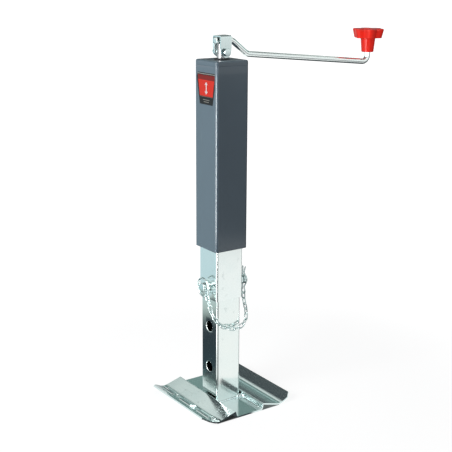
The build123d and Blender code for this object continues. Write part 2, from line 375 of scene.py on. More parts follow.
@dataclass(frozen=True)
class Plastic:
    """Glossy moulded plastic with a little depth to its colour."""

    name: str = "red_knob_plastic"
    color: Triple = (0.95, 0.024, 0.012)
    roughness: float = 0.20
    grain_depth: float = 0.008 * MM

    def material(self) -> Finish:
        """Build the plastic.

        Returns:
            The material.
        """
        g = Graph(self.name)
        cloud = g.noise(45.0, 3.0)
        grain = g.noise(1500.0, 2.0)
        return g.surface({
            "Base Color": g.mix(cloud, self.color, scaled(self.color, 0.82)),
            "Roughness": self.roughness + 0.08 * cloud,
            "Specular IOR Level": 0.24,
            "Normal": g.bump(grain, self.grain_depth),
        })


@dataclass(frozen=True)
class PlainMetal:
    """Machined or cast metal with fine turning marks and oil stains."""

    name: str
    color: Triple
    roughness: float
    mark_depth: float = 0.01 * MM

    def material(self) -> Finish:
        """Build the metal.

        Returns:
            The material.
        """
        g = Graph(self.name)
        cloud = g.noise(120.0, 4.0)
        marks = g.noise(1400.0, 2.0, (0.1, 0.1, 1))
        return g.surface({
            "Base Color": g.mix(cloud.ramp(0.35, 0.75), self.color, scaled(self.color, 0.62)),
            "Metallic": 1.0,
            "Roughness": self.roughness + 0.16 * cloud,
            "Normal": g.bump(marks, self.mark_depth),
        })


@dataclass(frozen=True)
class Rubber:
    """Dull dark seal with dust in its skin."""

    name: str = "dark_seal_rubber"
    color: Triple = (0.012, 0.012, 0.013)
    dusty: Triple = (0.06, 0.06, 0.06)
    grain_depth: float = 0.03 * MM

    def material(self) -> Finish:
        """Build the rubber.

        Returns:
            The material.
        """
        g = Graph(self.name)
        dust = g.noise(260.0, 4.0)
        tone = g.mix(dust.ramp(0.5, 0.8), self.color, self.dusty)
        return g.surface(
            {"Base Color": tone, "Roughness": 0.55 + 0.2 * dust, "Normal": g.bump(dust, self.grain_depth)}
        )


@dataclass(frozen=True)
class Sticker:
    """Printed label: black border, red field with a plain double arrow, black foot with two grey bars.

    Args:
        middle_y: Middle of the label across the tube.
        top: Height of its upper edge.
        shoulder: Height where it is widest.
        bottom: Height of its lower edge.
        split: Height where red meets black.
        half_top: Half width at the upper edge.
        half_shoulder: Half width at the shoulders.
        half_bottom: Half width at the lower edge.
        border: Width of the black border.
        soft: Softness of every printed edge.
        upper_border: Depth of the black border at the upper edge.
        band: Depth of the dark red band from the upper edge.
        stem: Half width and half height of the arrow's stem.
        head: Where the arrow's heads begin and end, from its middle.
        gap: Depth of the black between the red and the grey bars.
        bars: Height over the lower edge and half length of each grey bar.
        bar: Half height of a grey bar.
        line: Depth below the split and half height of the brown line.
        edge: Depth below the upper edge and half height of the pale line.
    """

    middle_y: float = -3.0 * MM
    top: float = 683 * MM
    shoulder: float = 674 * MM
    bottom: float = 622 * MM
    split: float = 638 * MM
    half_top: float = 29.5 * MM
    half_shoulder: float = 33.0 * MM
    half_bottom: float = 22.0 * MM
    border: float = 2.6 * MM
    soft: float = 0.25 * MM
    upper_border: float = 4.5 * MM
    band: float = 14.0 * MM
    stem: Pair = (1.6 * MM, 7.0 * MM)
    head: Pair = (6.5 * MM, 12.0 * MM)
    gap: float = 3.0 * MM
    bars: tuple[Pair, Pair] = ((5.0 * MM, 9.0 * MM), (9.0 * MM, 11.0 * MM))
    bar: float = 0.7 * MM
    line: Pair = (1.0 * MM, 0.35 * MM)
    edge: Pair = (2.4 * MM, 0.8 * MM)

    def above(self, value: Wire, limit: float) -> Wire:
        """1 where a value is over a limit."""
        return value.ramp(limit, limit + self.soft)

    def below(self, value: Wire, limit: float) -> Wire:
        """1 where a value is under a limit."""
        return value.ramp(limit, limit - self.soft)

    def near(self, value: Wire, middle: float, half: float) -> Wire:
        """1 within half a width of the middle."""
        return self.below(abs(value - middle), half)

    def material(self) -> Finish:
        """Build the print from the object coordinates Y and Z.

        Returns:
            The material.
        """
        g = Graph("label_print")
        _, y, z = g.axes()
        across = abs(y - self.middle_y)
        share = (z - self.bottom) / (self.top - self.bottom)
        half = self.half_bottom + (self.half_shoulder - self.half_bottom) * share
        inside = (half - self.border - across).ramp(0, self.soft)
        red = inside * self.below(z, self.top - self.upper_border) * self.above(z, self.split)
        upper = self.above(z, self.top - self.band)
        rise = abs(z - (self.top - self.band + self.split) / 2)
        stem = self.below(across, self.stem[0]) * self.below(rise, self.stem[1])
        head = self.above(rise, self.head[0]) * self.below(rise + across, self.head[1])
        foot = inside * self.below(z, self.split - self.gap)
        low_bar, high_bar = (
            self.near(z, self.bottom + height, self.bar) * self.below(across, length)
            for height, length in self.bars
        )
        line = self.near(z, self.split - self.line[0], self.line[1]) * inside
        edge = self.near(z, self.top - self.edge[0], self.edge[1]) * inside
        tone: Wire | Triple = (0.012, 0.012, 0.013)
        for where, color in (
            (red, (0.72, 0.035, 0.02)),
            (red * upper, (0.22, 0.015, 0.012)),
            (edge, (0.36, 0.36, 0.34)),
            (stem.larger(head) * red, (0.80, 0.78, 0.78)),
            (foot * low_bar.larger(high_bar), (0.30, 0.29, 0.26)),
            (line, (0.42, 0.24, 0.18)),
        ):
            tone = g.mix(where, tone, color)
        rough = 0.34 + 0.1 * g.noise(400.0, 3.0)
        return g.surface({"Base Color": tone, "Roughness": rough, "Specular IOR Level": 0.22})


class Finishes:
    """Every finish of the jack, each built once."""

    def __init__(self) -> None:
        """Build the materials."""
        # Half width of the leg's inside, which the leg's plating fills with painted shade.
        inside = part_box("drop_leg")[1].x - Ram.leg_wall + 0.4 * MM
        self.paint = Paint().material()
        self.ram_zinc = Zinc("ram_zinc").material()
        self.leg_zinc = Zinc("leg_zinc", (0.90, 0.92, 0.895), 0.11, inner_shade_half=inside).material()
        self.foot_zinc = Zinc("foot_zinc", (0.80, 0.87, 0.86), 0.13, (1, 0.02, 1), 0.08).material()
        self.rod_zinc = Zinc("rod_zinc", roughness=0.14, lines=(0.02, 1, 1)).material()
        self.small_zinc = Zinc("hardware_zinc", (0.74, 0.81, 0.80), 0.11, (1, 1, 1), 0.06).material()
        self.weld = Zinc("plated_weld", (0.80, 0.86, 0.85), 0.22, (1, 1, 1), 0.12).material()
        self.steel = PlainMetal("oiled_steel", (0.42, 0.42, 0.43), 0.28).material()
        self.bronze = PlainMetal("nut_bronze", (0.60, 0.40, 0.17), 0.30).material()
        self.rubber = Rubber().material()
        self.plastic = Plastic().material()


def signed_volume(points: np.ndarray, faces: np.ndarray) -> float:
    """Volume inside a closed mesh of quads: a sixth of the triple products of its triangles' corners.

    Args:
        points: Corners.
        faces: Four corner numbers for each quad.

    Returns:
        The volume, below 0 where the faces look inwards.
    """
    a, b, c, d = (points[faces[:, k]] for k in range(4))
    first = np.einsum("ij,ij->i", a, np.cross(b, c))
    second = np.einsum("ij,ij->i", a, np.cross(c, d))
    return float((first + second).sum() / 6)


def grid_faces(rows: int, columns: int, wrap: Wrap) -> np.ndarray:
    """Quads between neighbours of a grid.

    Args:
        rows: Points along the first parameter.
        columns: Points along the second parameter.
        wrap: How the grid closes.

    Returns:
        Corner numbers, four a face.
    """
    wrap_rows, wrap_columns = wrap.value
    i, j = np.meshgrid(
        np.arange(rows if wrap_rows else rows - 1),
        np.arange(columns if wrap_columns else columns - 1),
        indexing="ij",
    )
    i, j = i.ravel(), j.ravel()
    down, right = (i + 1) % rows, (j + 1) % columns
    return np.stack([i * columns + j, down * columns + j, down * columns + right, i * columns + right], 1)


class Patchwork:
    """Grids that together make one mesh.

    Args:
        name: Name of the piece.
    """

    def __init__(self, name: str) -> None:
        """Start with no grid."""
        self.name = name
        self.points: list[np.ndarray] = []
        self.faces: list[np.ndarray] = []
        self.count = 0

    def add(self, grid: np.ndarray, wrap: Wrap = Wrap.ROUND) -> "Patchwork":
        """Add one grid of points, turned outwards where it closes.

        Args:
            grid: Points as an array of rows, columns and three coordinates.
            wrap: How the grid closes.

        Returns:
            This patchwork.
        """
        points = grid.reshape(-1, 3)
        faces = grid_faces(*grid.shape[:2], wrap)
        if wrap is not Wrap.SHEET and signed_volume(points - points.mean(0), faces) < 0:
            faces = faces[:, ::-1]
        self.points.append(points)
        self.faces.append(faces + self.count)
        self.count += len(points)
        return self

    def build(self, material: Finish | None, sharp: float = SMOOTH_ANGLE) -> Piece:
        """Put the grids into one object.

        Args:
            material: Finish of the whole piece, or None for a tool.
            sharp: Angle in degrees from which an edge stays sharp.

        Returns:
            The new object, at the origin.
        """
        mesh = bpy.data.meshes.new(self.name)
        mesh.from_pydata(np.concatenate(self.points).tolist(), [], np.concatenate(self.faces).tolist())
        tidy_mesh(mesh, sharp)
        mesh.materials.append(material)
        made = bpy.data.objects.new(self.name, mesh)
        bpy.context.scene.collection.objects.link(made)
        return made


def tidy_mesh(mesh: bpy.types.Mesh, sharp: float) -> None:
    """Merge the points of poles and seams, and shade smooth.

    Args:
        mesh: The mesh.
        sharp: Angle in degrees from which an edge stays sharp.
    """
    work = bmesh.new()
    work.from_mesh(mesh)
    bmesh.ops.remove_doubles(work, verts=work.verts, dist=MERGE)
    bmesh.ops.dissolve_degenerate(work, dist=SLIVER, edges=work.edges)
    work.to_mesh(mesh)
    work.free()
    mesh.polygons.foreach_set("use_smooth", np.ones(len(mesh.polygons), bool))
    mesh.set_sharp_from_angle(angle=math.radians(sharp))
    mesh.update()


def fixed(piece: Piece, sharp: float = SMOOTH_ANGLE) -> Piece:
    """Put a piece's modifiers into its mesh for good.

    Args:
        piece: Object whose modifiers are done.
        sharp: Angle in degrees from which an edge stays sharp.

    Returns:
        The same object.
    """
    bpy.context.view_layer.update()
    depsgraph = bpy.context.evaluated_depsgraph_get()
    mesh = bpy.data.meshes.new_from_object(piece.evaluated_get(depsgraph))
    piece.modifiers.clear()
    piece.data = mesh
    tidy_mesh(mesh, sharp)
    return piece


def cut(piece: Piece, tool: Piece) -> None:
    """Take one closed mesh out of another, and throw the tool away.

    Args:
        piece: What is cut.
        tool: What is taken out of it.
    """
    step = piece.modifiers.new("cut", "BOOLEAN")
    step.operation = "DIFFERENCE"
    step.solver = "EXACT"
    step.object = tool
    fixed(piece)
    bpy.data.objects.remove(tool)


def thickened(piece: Piece, thickness: float, offset: float) -> None:
    """Give a sheet its thickness.

    Args:
        piece: The sheet.
        thickness: How thick it becomes.
        offset: 0 to grow on both sides, or 1 or -1 to grow on one.
    """
    step = piece.modifiers.new("thickness", "SOLIDIFY")
    step.thickness = thickness
    step.offset = offset


def bevelled(piece: Piece, width: float, segments: int) -> None:
    """Round every edge that is sharper than the bevel angle.

    Args:
        piece: The piece.
        width: Width of the rounding.
        segments: Faces across it.
    """
    step = piece.modifiers.new("round", "BEVEL")
    step.width = width
    step.segments = segments
    step.limit_method = "ANGLE"
    step.angle_limit = math.radians(BEVEL_ANGLE)


def outward(piece: Piece) -> Piece:
    """Turn every face of a closed piece outwards.

    Args:
        piece: The piece.

    Returns:
        The same object.
    """
    work = bmesh.new()
    work.from_mesh(piece.data)
    bmesh.ops.recalc_face_normals(work, faces=work.faces)
    work.to_mesh(piece.data)
    work.free()
    piece.data.update()
    return piece


def quarter(count: int) -> np.ndarray:
    """Angles of a quarter turn, with both its ends."""
    return np.linspace(0, math.pi / 2, count)


def circle(count: int) -> np.ndarray:
    """Angles of a whole turn, without its end."""
    return np.linspace(0, TAU, count, endpoint=False)


def stacked(x: np.ndarray | float, y: np.ndarray | float, z: np.ndarray | float) -> np.ndarray:
    """Points from their three coordinates, each spread to the shape of all."""
    return np.stack(np.broadcast_arrays(x, y, z), -1)


def smooth(value: np.ndarray, width: float) -> np.ndarray:
    """Smooth rise from 0 to 1 over a width: three times the share's square less twice its cube."""
    share = np.clip(value / width, 0, 1)
    return share * share * (3 - 2 * share)


def rounded_line(corners: Sequence[Sequence[float]], radii: Sequence[float], step: float) -> np.ndarray:
    """Line through corners that are rounded by arcs tangent to both runs.

    At each corner the arc begins radius times the tangent of half the turn before it, and its points
    are the centre plus the radius turned from the first run to the second.

    Args:
        corners: Points in the plane.
        radii: One radius for each inner corner.
        step: Largest angle in radians between points of an arc.

    Returns:
        Points of the line.
    """
    corners = np.asarray(corners, float)
    parts = [corners[:1]]
    for before, corner, after, radius in zip(corners, corners[1:], corners[2:], radii):
        first = (corner - before) / np.linalg.norm(corner - before)
        second = (after - corner) / np.linalg.norm(after - corner)
        turn = math.atan2(first[0] * second[1] - first[1] * second[0], float(first @ second))
        reach = radius * math.tan(abs(turn) / 2)
        side = math.copysign(1.0, turn)
        centre = corner - reach * first + side * radius * np.array([-first[1], first[0]])
        angles = np.linspace(0, turn, max(int(abs(turn) / step) + 1, 2))
        spoke = corner - reach * first - centre
        across = spoke[0] * np.cos(angles) - spoke[1] * np.sin(angles)
        up = spoke[0] * np.sin(angles) + spoke[1] * np.cos(angles)
        parts.append(centre + np.stack([across, up], 1))
    return np.concatenate([*parts, corners[-1:]])


def resampled(line: np.ndarray, spacing: float) -> np.ndarray:
    """Add points on the long runs of a line.

    Args:
        line: Points of the line.
        spacing: Longest run between two points.

    Returns:
        Points of the finer line.
    """
    lengths = np.linalg.norm(np.diff(line, axis=0), axis=1)
    counts = np.maximum(np.ceil(lengths / spacing).astype(int), 1)
    parts = [a + (b - a) * (np.arange(n) / n)[:, None] for a, b, n in zip(line, line[1:], counts)]
    return np.concatenate([*parts, line[-1:]])


def tangents(path: np.ndarray, closed: bool = False) -> np.ndarray:
    """Direction at each point: from the point before to the point after.

    Args:
        path: Points of the path.
        closed: Whether the path is a loop.

    Returns:
        Directions of length 1.
    """
    steps = np.roll(path, -1, 0) - np.roll(path, 1, 0) if closed else np.gradient(path, axis=0)
    return steps / np.linalg.norm(steps, axis=1, keepdims=True)


def bar(
    path: np.ndarray,
    radius: float,
    normal: Sequence[float],
    round_end: float | None = None,
    sides: int = 28,
) -> np.ndarray:
    """Round bar along a flat path.

    Each ring is the path's point plus the radius times cosine of the plane's normal and sine of the
    normal crossed with the direction. Open ends close in a rounded rim and a flat disc.

    Args:
        path: Points in space, all in one plane.
        radius: Bar's radius.
        normal: Normal of that plane.
        round_end: Radius of the rim at open ends, or None where the path is a loop.
        sides: Points round the bar.

    Returns:
        Grid of points, one row for each place along the bar.
    """
    along = tangents(path, round_end is None)
    up = np.broadcast_to(np.asarray(normal, float), along.shape)
    out = np.cross(along, up)
    reach = np.full(len(path), radius)
    if round_end is not None:
        rim = quarter(5)
        shrink = np.concatenate([[0.0], radius - round_end + round_end * np.sin(rim)])
        back = np.concatenate([[0.0], round_end * (1 - np.cos(rim))])
        start = path[0] + back[:, None] * along[0]
        end = path[-1] - back[::-1][:, None] * along[-1]
        path = np.concatenate([start, path[1:-1], end])
        reach = np.concatenate([shrink, reach[1:-1], shrink[::-1]])
        up, out = (
            np.concatenate([np.repeat(v[:1], len(back), 0), v[1:-1], np.repeat(v[-1:], len(back), 0)])
            for v in (up, out)
        )
    angle = circle(sides)[None, :, None]
    ring = np.cos(angle) * up[:, None] + np.sin(angle) * out[:, None]
    return path[:, None] + reach[:, None, None] * ring


def turned(profile: np.ndarray, sides: int, centre: Sequence[float] = (0, 0)) -> np.ndarray:
    """Surface of revolution: each profile point swung round a vertical axis at its radius.

    Args:
        profile: Radius and height of each point.
        sides: Points round the axis.
        centre: Place of the axis.

    Returns:
        Grid of points, one row for each profile point.
    """
    angle = circle(sides)
    radius, height = profile[:, :1], profile[:, 1:]
    return stacked(centre[0] + radius * np.cos(angle), centre[1] + radius * np.sin(angle), height)


def lying(grid: np.ndarray, height: float) -> np.ndarray:
    """Lay an upright grid along X at a height: Z becomes X, X becomes Y, and Y becomes Z."""
    return stacked(grid[..., 2], grid[..., 0], grid[..., 1] + height)


def risen(flat: np.ndarray, height: np.ndarray) -> np.ndarray:
    """Grid of flat outlines, each at a height of its own."""
    return stacked(flat[..., 0], flat[..., 1], height[:, None])


@dataclass
class SquareTube:
    """Square tube with rounded corners and eased ends.

    The outline is a rounded square. Every point of it moves outwards along its normal by the offset of
    the wall's profile, so one profile of offset and height makes the outside, both rims and the inside.

    Args:
        side: Outer width.
        wall: Wall thickness.
        corner: Outer corner radius.
        bottom: Height of the lower end.
        top: Height of the upper end.
        ease: Radius of the rims.
        edge: Length of the short runs at both ends of a flat.
        across: Points between them.
        arc: Points on each corner.
        rows: Rows along the tube.
    """

    side: float
    wall: float
    corner: float
    bottom: float
    top: float
    ease: float = 0.5 * MM
    edge: float = 0.35 * MM
    across: int = 10
    arc: int = 9
    rows: int = 24

    def outline(self) -> tuple[np.ndarray, np.ndarray]:
        """One flat and one corner, turned four times by a quarter.

        Returns:
            Points of the outline and their outward normals, both flat arrays of pairs.
        """
        flat = self.side / 2 - self.corner
        run = np.linspace(-flat + self.edge, flat - self.edge, self.across)
        along = np.concatenate([[-flat], run, [flat]])
        bend = quarter(self.arc + 2)[1:-1]
        level = np.tile([1.0, 0.0], (len(along), 1))
        normals = np.concatenate([level, np.stack([np.cos(bend), np.sin(bend)], 1)])
        wall = np.stack([np.full(len(along), self.side / 2), along], 1)
        points = np.concatenate([wall, flat + self.corner * normals[len(along):]])
        spins = [np.linalg.matrix_power([[0, -1], [1, 0]], k).T for k in range(4)]
        return np.concatenate([points @ s for s in spins]), np.concatenate([normals @ s for s in spins])

    def grid(self) -> np.ndarray:
        """Closed surface of the tube, one row for each profile point.

        Returns:
            Grid of points that closes both ways.
        """
        up = np.linspace(self.bottom + self.ease, self.top - self.ease, self.rows)
        rim = self.ease * (1 - np.cos(quarter(5)))
        lift = self.ease * np.sin(quarter(5))
        high, low = self.top - self.ease, self.bottom + self.ease
        profile = [
            (np.zeros(self.rows), up),
            (-rim[1:], high + lift[1:]),
            (-self.wall + rim[::-1], high + lift[::-1]),
            (np.full(self.rows - 1, -self.wall), up[::-1][1:]),
            (-self.wall + rim[1:], low - lift[1:]),
            (-rim[::-1][:-1], low - lift[::-1][:-1]),
        ]
        offset, height = (np.concatenate(side) for side in zip(*profile))
        points, normals = self.outline()
        return risen(points + offset[:, None, None] * normals, height)

    def build(self, name: str, material: Finish) -> Piece:
        """Make the tube's object."""
        return Patchwork(name).add(self.grid(), Wrap.RING).build(material)


def hole_tool(radius: float, flare: float, half_width: float, height: float) -> Piece:
    """Round tool along X whose ends flare like a worn hole's rim.

    Args:
        radius: Radius of the hole.
        flare: How far the rim is rounded over.
        half_width: Distance from the axis to the tube's outside.
        height: Height of the hole.

    Returns:
        The tool as an object.
    """
    arc = quarter(6)
    reach = half_width - flare + flare * np.sin(arc)
    wide = radius + flare * (1 - np.cos(arc))
    beyond = half_width + 4 * MM
    side = np.stack([wide, reach], 1)
    profile = np.concatenate(
        [[[0, -beyond], [wide[-1], -beyond]], side[::-1] * [1, -1], side, [[wide[-1], beyond], [0, beyond]]]
    )
    return Patchwork("hole_tool").add(lying(turned(profile, 56), height)).build(None)


def settle(piece: Piece, body: Body, slot: str, *nodes: str) -> None:
    """Put a finished piece on its body in place of its solids.

    Args:
        piece: The new piece.
        body: Body it moves with.
        slot: Material slot of the record; not used.
        nodes: Solids that it stands for.
    """
    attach(piece, body.value)
    if nodes:
        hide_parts(*nodes)
    LOG.info("%s: %d faces on %s", piece.name, len(piece.data.polygons), body.value)


def dress(material: Finish, *nodes: str) -> None:
    """Give carried-over solids their finish.

    Args:
        material: The finish.
        nodes: The solids' names.
    """
    for node in nodes:
        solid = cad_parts[node]
        solid.data.materials.clear()
        solid.data.materials.append(material)
        LOG.info("%s: dressed", node)


@dataclass
class Assembly:
    """Pieces that are built together.

    Args:
        finishes: Every finish of the jack.
    """

    finishes: Finishes


@dataclass
class Housing(Assembly):
    """Painted tube and cap, with the label on the tube's left face."""

    wall: float = 4.76 * MM
    corner: float = 6.0 * MM
    rim: float = 3.5 * MM
    bore: float = 12.7 * MM
    ease: float = 0.8 * MM
    label_lift: float = 0.12 * MM
    label_half: float = 31.9 * MM

    def build(self) -> None:
        """Build the tube, the cap and the label, and dress what the cap carries."""
        low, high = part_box("outer_tube")
        tube = SquareTube(high.x - low.x, self.wall, self.corner, low.z, high.z, self.ease)
        settle(tube.build("housing_tube", self.finishes.paint), Body.HOUSING, "blue_grey_paint", "outer_tube")
        settle(self.cap(tube), Body.HOUSING, "blue_grey_paint", "top_cap")
        settle(self.label(low.x), Body.HOUSING, "blue_grey_paint")
        dress(self.finishes.bronze, "spindle_bushing")
        dress(self.finishes.rubber, "spindle_seal")
        dress(self.finishes.steel, "upper_race")

    def cap(self, tube: SquareTube) -> Piece:
        """Cap whose top runs from the rounded rim in to the bore.

        The outline shrinks by the rim's quarter circle as it rises, then blends in a straight line to
        the circle of the bore at the same angle.

        Args:
            tube: Tube under the cap, whose outline it shares.

        Returns:
            The cap.
        """
        low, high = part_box("top_cap")
        points, normals = tube.outline()
        arc = quarter(8)
        inset = np.concatenate([[0.0], self.rim * (1 - np.cos(arc))])
        height = np.concatenate([[low.z], high.z - self.rim + self.rim * np.sin(arc)])
        skirt = points - inset[:, None, None] * normals
        edge = skirt[-1]
        angle = np.arctan2(edge[:, 1], edge[:, 0])
        bore = self.bore * np.stack([np.cos(angle), np.sin(angle)], 1)
        share = np.linspace(0, 1, 7)[1:, None, None]
        back = share[::-1][1:]
        top = edge * (1 - share) + bore * share
        under = points * (1 - back) + bore * back
        heights = np.concatenate([height, np.full(len(share), high.z), np.full(1 + len(back), low.z)])
        grid = risen(np.concatenate([skirt, top, bore[None], under]), heights)
        return Patchwork("housing_cap").add(grid, Wrap.RING).build(self.finishes.paint)

    def label(self, face_x: float) -> Piece:
        """Thin label on the left face, wide at its shoulders and narrower at its foot.

        Its half width rises in a straight line from the foot to the shoulders and falls again to the top.

        Args:
            face_x: Place of the tube's left face.

        Returns:
            The label.
        """
        art = Sticker()
        heights = np.linspace(art.bottom, art.top, 30)
        knots = [art.bottom, art.shoulder, art.top]
        half = np.interp(heights, knots, [art.half_bottom, art.half_shoulder, art.half_top])
        y = art.middle_y + half[:, None] * np.linspace(-1, 1, 24)
        y = np.clip(y, -self.label_half, self.label_half)
        front = stacked(face_x - self.label_lift, y, heights[:, None])
        made = Patchwork("housing_label").add(front, Wrap.SHEET).build(art.material())
        thickened(made, self.label_lift * 0.9, offset=-1.0)
        return outward(fixed(made))


@dataclass
class LiftingScrew(Assembly):
    """Threaded screw with its plain spindle, and the bearing and pins inside."""

    spindle: float = 9.525 * MM
    crest: float = 12.65 * MM
    root: float = 10.4 * MM
    lead: float = 5.08 * MM
    runout: float = 6.0 * MM
    ease: float = 1.5 * MM
    chamfer: float = 2.0 * MM
    rows_a_turn: int = 10
    sides: int = 36

    def build(self) -> None:
        """Build the screw and dress the pieces beside it."""
        settle(self.screw(), Body.SCREW, "bare_steel", "lift_screw")
        dress(self.finishes.steel, "lower_race", "thrust_collar", "collar_pin", "screw_stop_pin")
        dress(self.finishes.steel, "bearing_rollers")
        dress(self.finishes.bronze, "bearing_cage")

    def screw(self) -> Piece:
        """Left-hand screw.

        The radius is the crest less the thread's depth times a clipped triangle wave, whose phase is
        the height over the lead plus the share of a turn. The wave fades to the crest at both ends.

        Returns:
            The screw.
        """
        low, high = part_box("lift_screw")
        collar, shoulder = (corner.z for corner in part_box("thrust_collar"))
        height = np.linspace(low.z, collar, int((collar - low.z) / self.lead * self.rows_a_turn))[:, None]
        angle = circle(self.sides)
        phase = height / self.lead + angle / TAU
        wave = np.abs((phase % 1.0) * 2 - 1)
        groove = np.clip(wave * 2.2 - 0.6, 0, 1)
        fade = np.clip((height - low.z) / self.runout, 0, 1) * np.clip((collar - height) / self.runout, 0, 1)
        radius = self.crest - (self.crest - self.root) * groove * fade
        radius = np.where(height < low.z + 0.4 * MM, self.crest - self.chamfer, radius)
        plain = np.array([
            [self.crest, collar],
            [self.crest, shoulder],
            [self.spindle, shoulder],
            [self.spindle, high.z - self.ease],
            [self.spindle - 0.3 * self.ease, high.z - 0.3 * self.ease],
            [self.spindle - self.ease, high.z],
            [0, high.z],
        ])
        foot = turned(np.array([[0, low.z]]), self.sides)
        thread = stacked(radius * np.cos(angle), radius * np.sin(angle), height)
        grid = np.concatenate([foot, thread, turned(plain, self.sides)])
        return Patchwork("lifting_screw").add(grid).build(self.finishes.steel, sharp=30)


@dataclass
class Crank(Assembly):
    """Folded bracket, its bolt and nut, the bent rod and the weld between rod and bracket."""

    gap: float = 21.0 * MM
    sheet: float = 3.2 * MM
    fold: float = 4.0 * MM
    foot_radius: float = 11.0 * MM
    foot_x: float = 1.5 * MM
    shoulder: float = 9.0 * MM
    bolt_height: float = 721.0 * MM
    bolt_radius: float = 4.7625 * MM
    flats: float = 14.3 * MM
    crown: float = 1.1 * MM
    head: float = 6.2 * MM
    nut: float = 8.3 * MM
    tail: float = 5.5 * MM
    pitch: float = 1.6 * MM
    thread_depth: float = 0.75 * MM
    rod: float = 6.0 * MM
    rod_height: float = 743.0 * MM
    stub_end: float = -15.5 * MM
    bends: tuple[Pair, ...] = ((0.0218, 0.743), (0.0592, 0.7141), (0.379, 0.6827))
    radii: Triple = (0.022, 0.022, 0.013)
    rod_end: float = 744.5 * MM
    bead_radius: float = 2.3 * MM
    bead_y: float = 6.9 * MM
    ripple: float = 1.4 * MM

    def build(self) -> None:
        """Build every piece of the crank."""
        slot = "plated_hardware"
        settle(self.bracket(), Body.SCREW, slot, "crank_bracket")
        settle(self.bolt(), Body.SCREW, slot, "bracket_bolt")
        settle(self.hex_nut(), Body.SCREW, slot, "bracket_nut")
        settle(self.bent_rod(), Body.SCREW, slot, "crank_rod")
        settle(self.bead(), Body.SCREW, "weld_metal", "rod_weld")
        dress(self.finishes.small_zinc, "knob_push_nut")

    def bracket(self) -> Piece:
        """Folded sheet over the rod.

        Along the fold line the path goes down one side, over the top and down the other. Across it the
        sheet spans from its left to its right edge, which are upright above the bolt's shoulder, slope
        in below it and follow a circle round the bolt at the foot.

        Returns:
            The bracket.
        """
        low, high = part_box("crank_bracket")
        mid = self.gap / 2 + self.sheet / 2
        top = high.z - self.sheet / 2
        radius = self.fold - self.sheet / 2
        foot = self.bolt_height - self.foot_radius
        corners = [(-mid, foot), (-mid, top), (mid, top), (mid, foot)]
        path = resampled(rounded_line(corners, [radius, radius], 0.2), 1.0 * MM)
        drop = np.array([0.02, 0.1, 0.25, 0.5, 0.8]) * MM
        fine = np.stack([0 * drop, drop], 1)
        path = np.concatenate([path[:1] + fine, path[1:-1], path[-1:] + fine[::-1]])
        height = path[:, 1:]
        below = np.clip(self.bolt_height - height, 0, self.foot_radius)
        round_half = np.sqrt(np.maximum(self.foot_radius**2 - below**2, 0))
        rise = np.clip((height - self.bolt_height) / self.shoulder, 0, 1)
        left = (self.foot_x - round_half) * (1 - rise) + low.x * rise
        right = (self.foot_x + round_half) * (1 - rise) + high.x * rise
        share = np.linspace(0, 1, 20)
        grid = stacked(left * (1 - share) + right * share, path[:, :1], height)
        made = Patchwork("crank_yoke").add(grid, Wrap.SHEET).build(self.finishes.small_zinc)
        thickened(made, self.sheet - 0.02 * MM, offset=0.0)
        bevelled(made, width=0.5 * MM, segments=3)
        return outward(fixed(made, sharp=40))

    def round_bolt(self, radius: np.ndarray, angle: np.ndarray, along: np.ndarray) -> np.ndarray:
        """Grid about the bolt's axis, which lies along Y: a radius for each angle and each place."""
        return stacked(radius * np.cos(angle), along[:, None], self.bolt_height + radius * np.sin(angle))

    def hexagon(self, start: float, end: float, crown_start: bool) -> np.ndarray:
        """Closed hexagonal block along Y, crowned at one of its ends.

        The radius at each angle is half the flats over the cosine of the angle from the nearest flat,
        cut down to a circle where the face is crowned.

        Args:
            start: Place of the lower end.
            end: Place of the upper end.
            crown_start: Whether the lower end is the crowned one.

        Returns:
            Grid of points.
        """
        angle = circle(96)
        hexed = self.flats / 2 / np.cos((angle % (TAU / 6)) - TAU / 12)
        disc = np.full_like(angle, self.flats / 2 * 0.96)
        crowned = [
            (0.0, 0 * angle),
            (0.0, disc * 0.8),
            (0.05 * MM, disc),
            (0.45 * self.crown, np.minimum(hexed, disc * 1.05)),
            (0.8 * self.crown, np.minimum(hexed, disc * 1.12)),
            (1.4 * self.crown, hexed),
        ]
        plain = [(0.0, 0 * angle), (0.0, hexed), (0.05 * MM, hexed), (1.4 * self.crown, hexed)]
        first, last = (crowned, plain) if crown_start else (plain, crowned)
        rows = [(start + d, r) for d, r in first] + [(end - d, r) for d, r in reversed(last)]
        return self.round_bolt(np.stack([r for _, r in rows]), angle, np.array([p for p, _ in rows]))

    def threaded(self, start: float, end: float) -> np.ndarray:
        """Threaded end of the bolt along Y: a triangle wave of the height over the pitch less the turn.

        Args:
            start: Place where it begins.
            end: Place of its tip.

        Returns:
            Grid of points.
        """
        along = np.linspace(start, end, int((end - start) / self.pitch * 10))
        angle = circle(40)
        phase = along[:, None] / self.pitch - angle / TAU
        wave = np.abs((phase % 1.0) * 2 - 1)
        ease = np.clip((end - along) / (1.2 * MM), 0, 1)[:, None]
        radius = (self.bolt_radius - 0.05 * MM - self.thread_depth * wave) * (0.72 + 0.28 * ease)
        radius = np.concatenate([0 * radius[:1], radius, 0 * radius[:1]])
        return self.round_bolt(radius, angle, np.concatenate([along[:1], along, along[-1:]]))

    def bolt(self) -> Piece:
        """Hex head on the front side and the threaded tail behind the nut.

        Returns:
            The bolt.
        """
        outside = self.gap / 2 + self.sheet
        parts = Patchwork("yoke_bolt")
        parts.add(self.hexagon(-outside - self.head, -outside, True))
        parts.add(self.threaded(-outside + 0.5 * MM, outside + self.nut + self.tail))
        return parts.build(self.finishes.small_zinc, sharp=32)

    def hex_nut(self) -> Piece:
        """Nut against the back side.

        Returns:
            The nut.
        """
        outside = self.gap / 2 + self.sheet
        grid = self.hexagon(outside, outside + self.nut, False)
        return Patchwork("yoke_nut").add(grid).build(self.finishes.small_zinc, sharp=32)

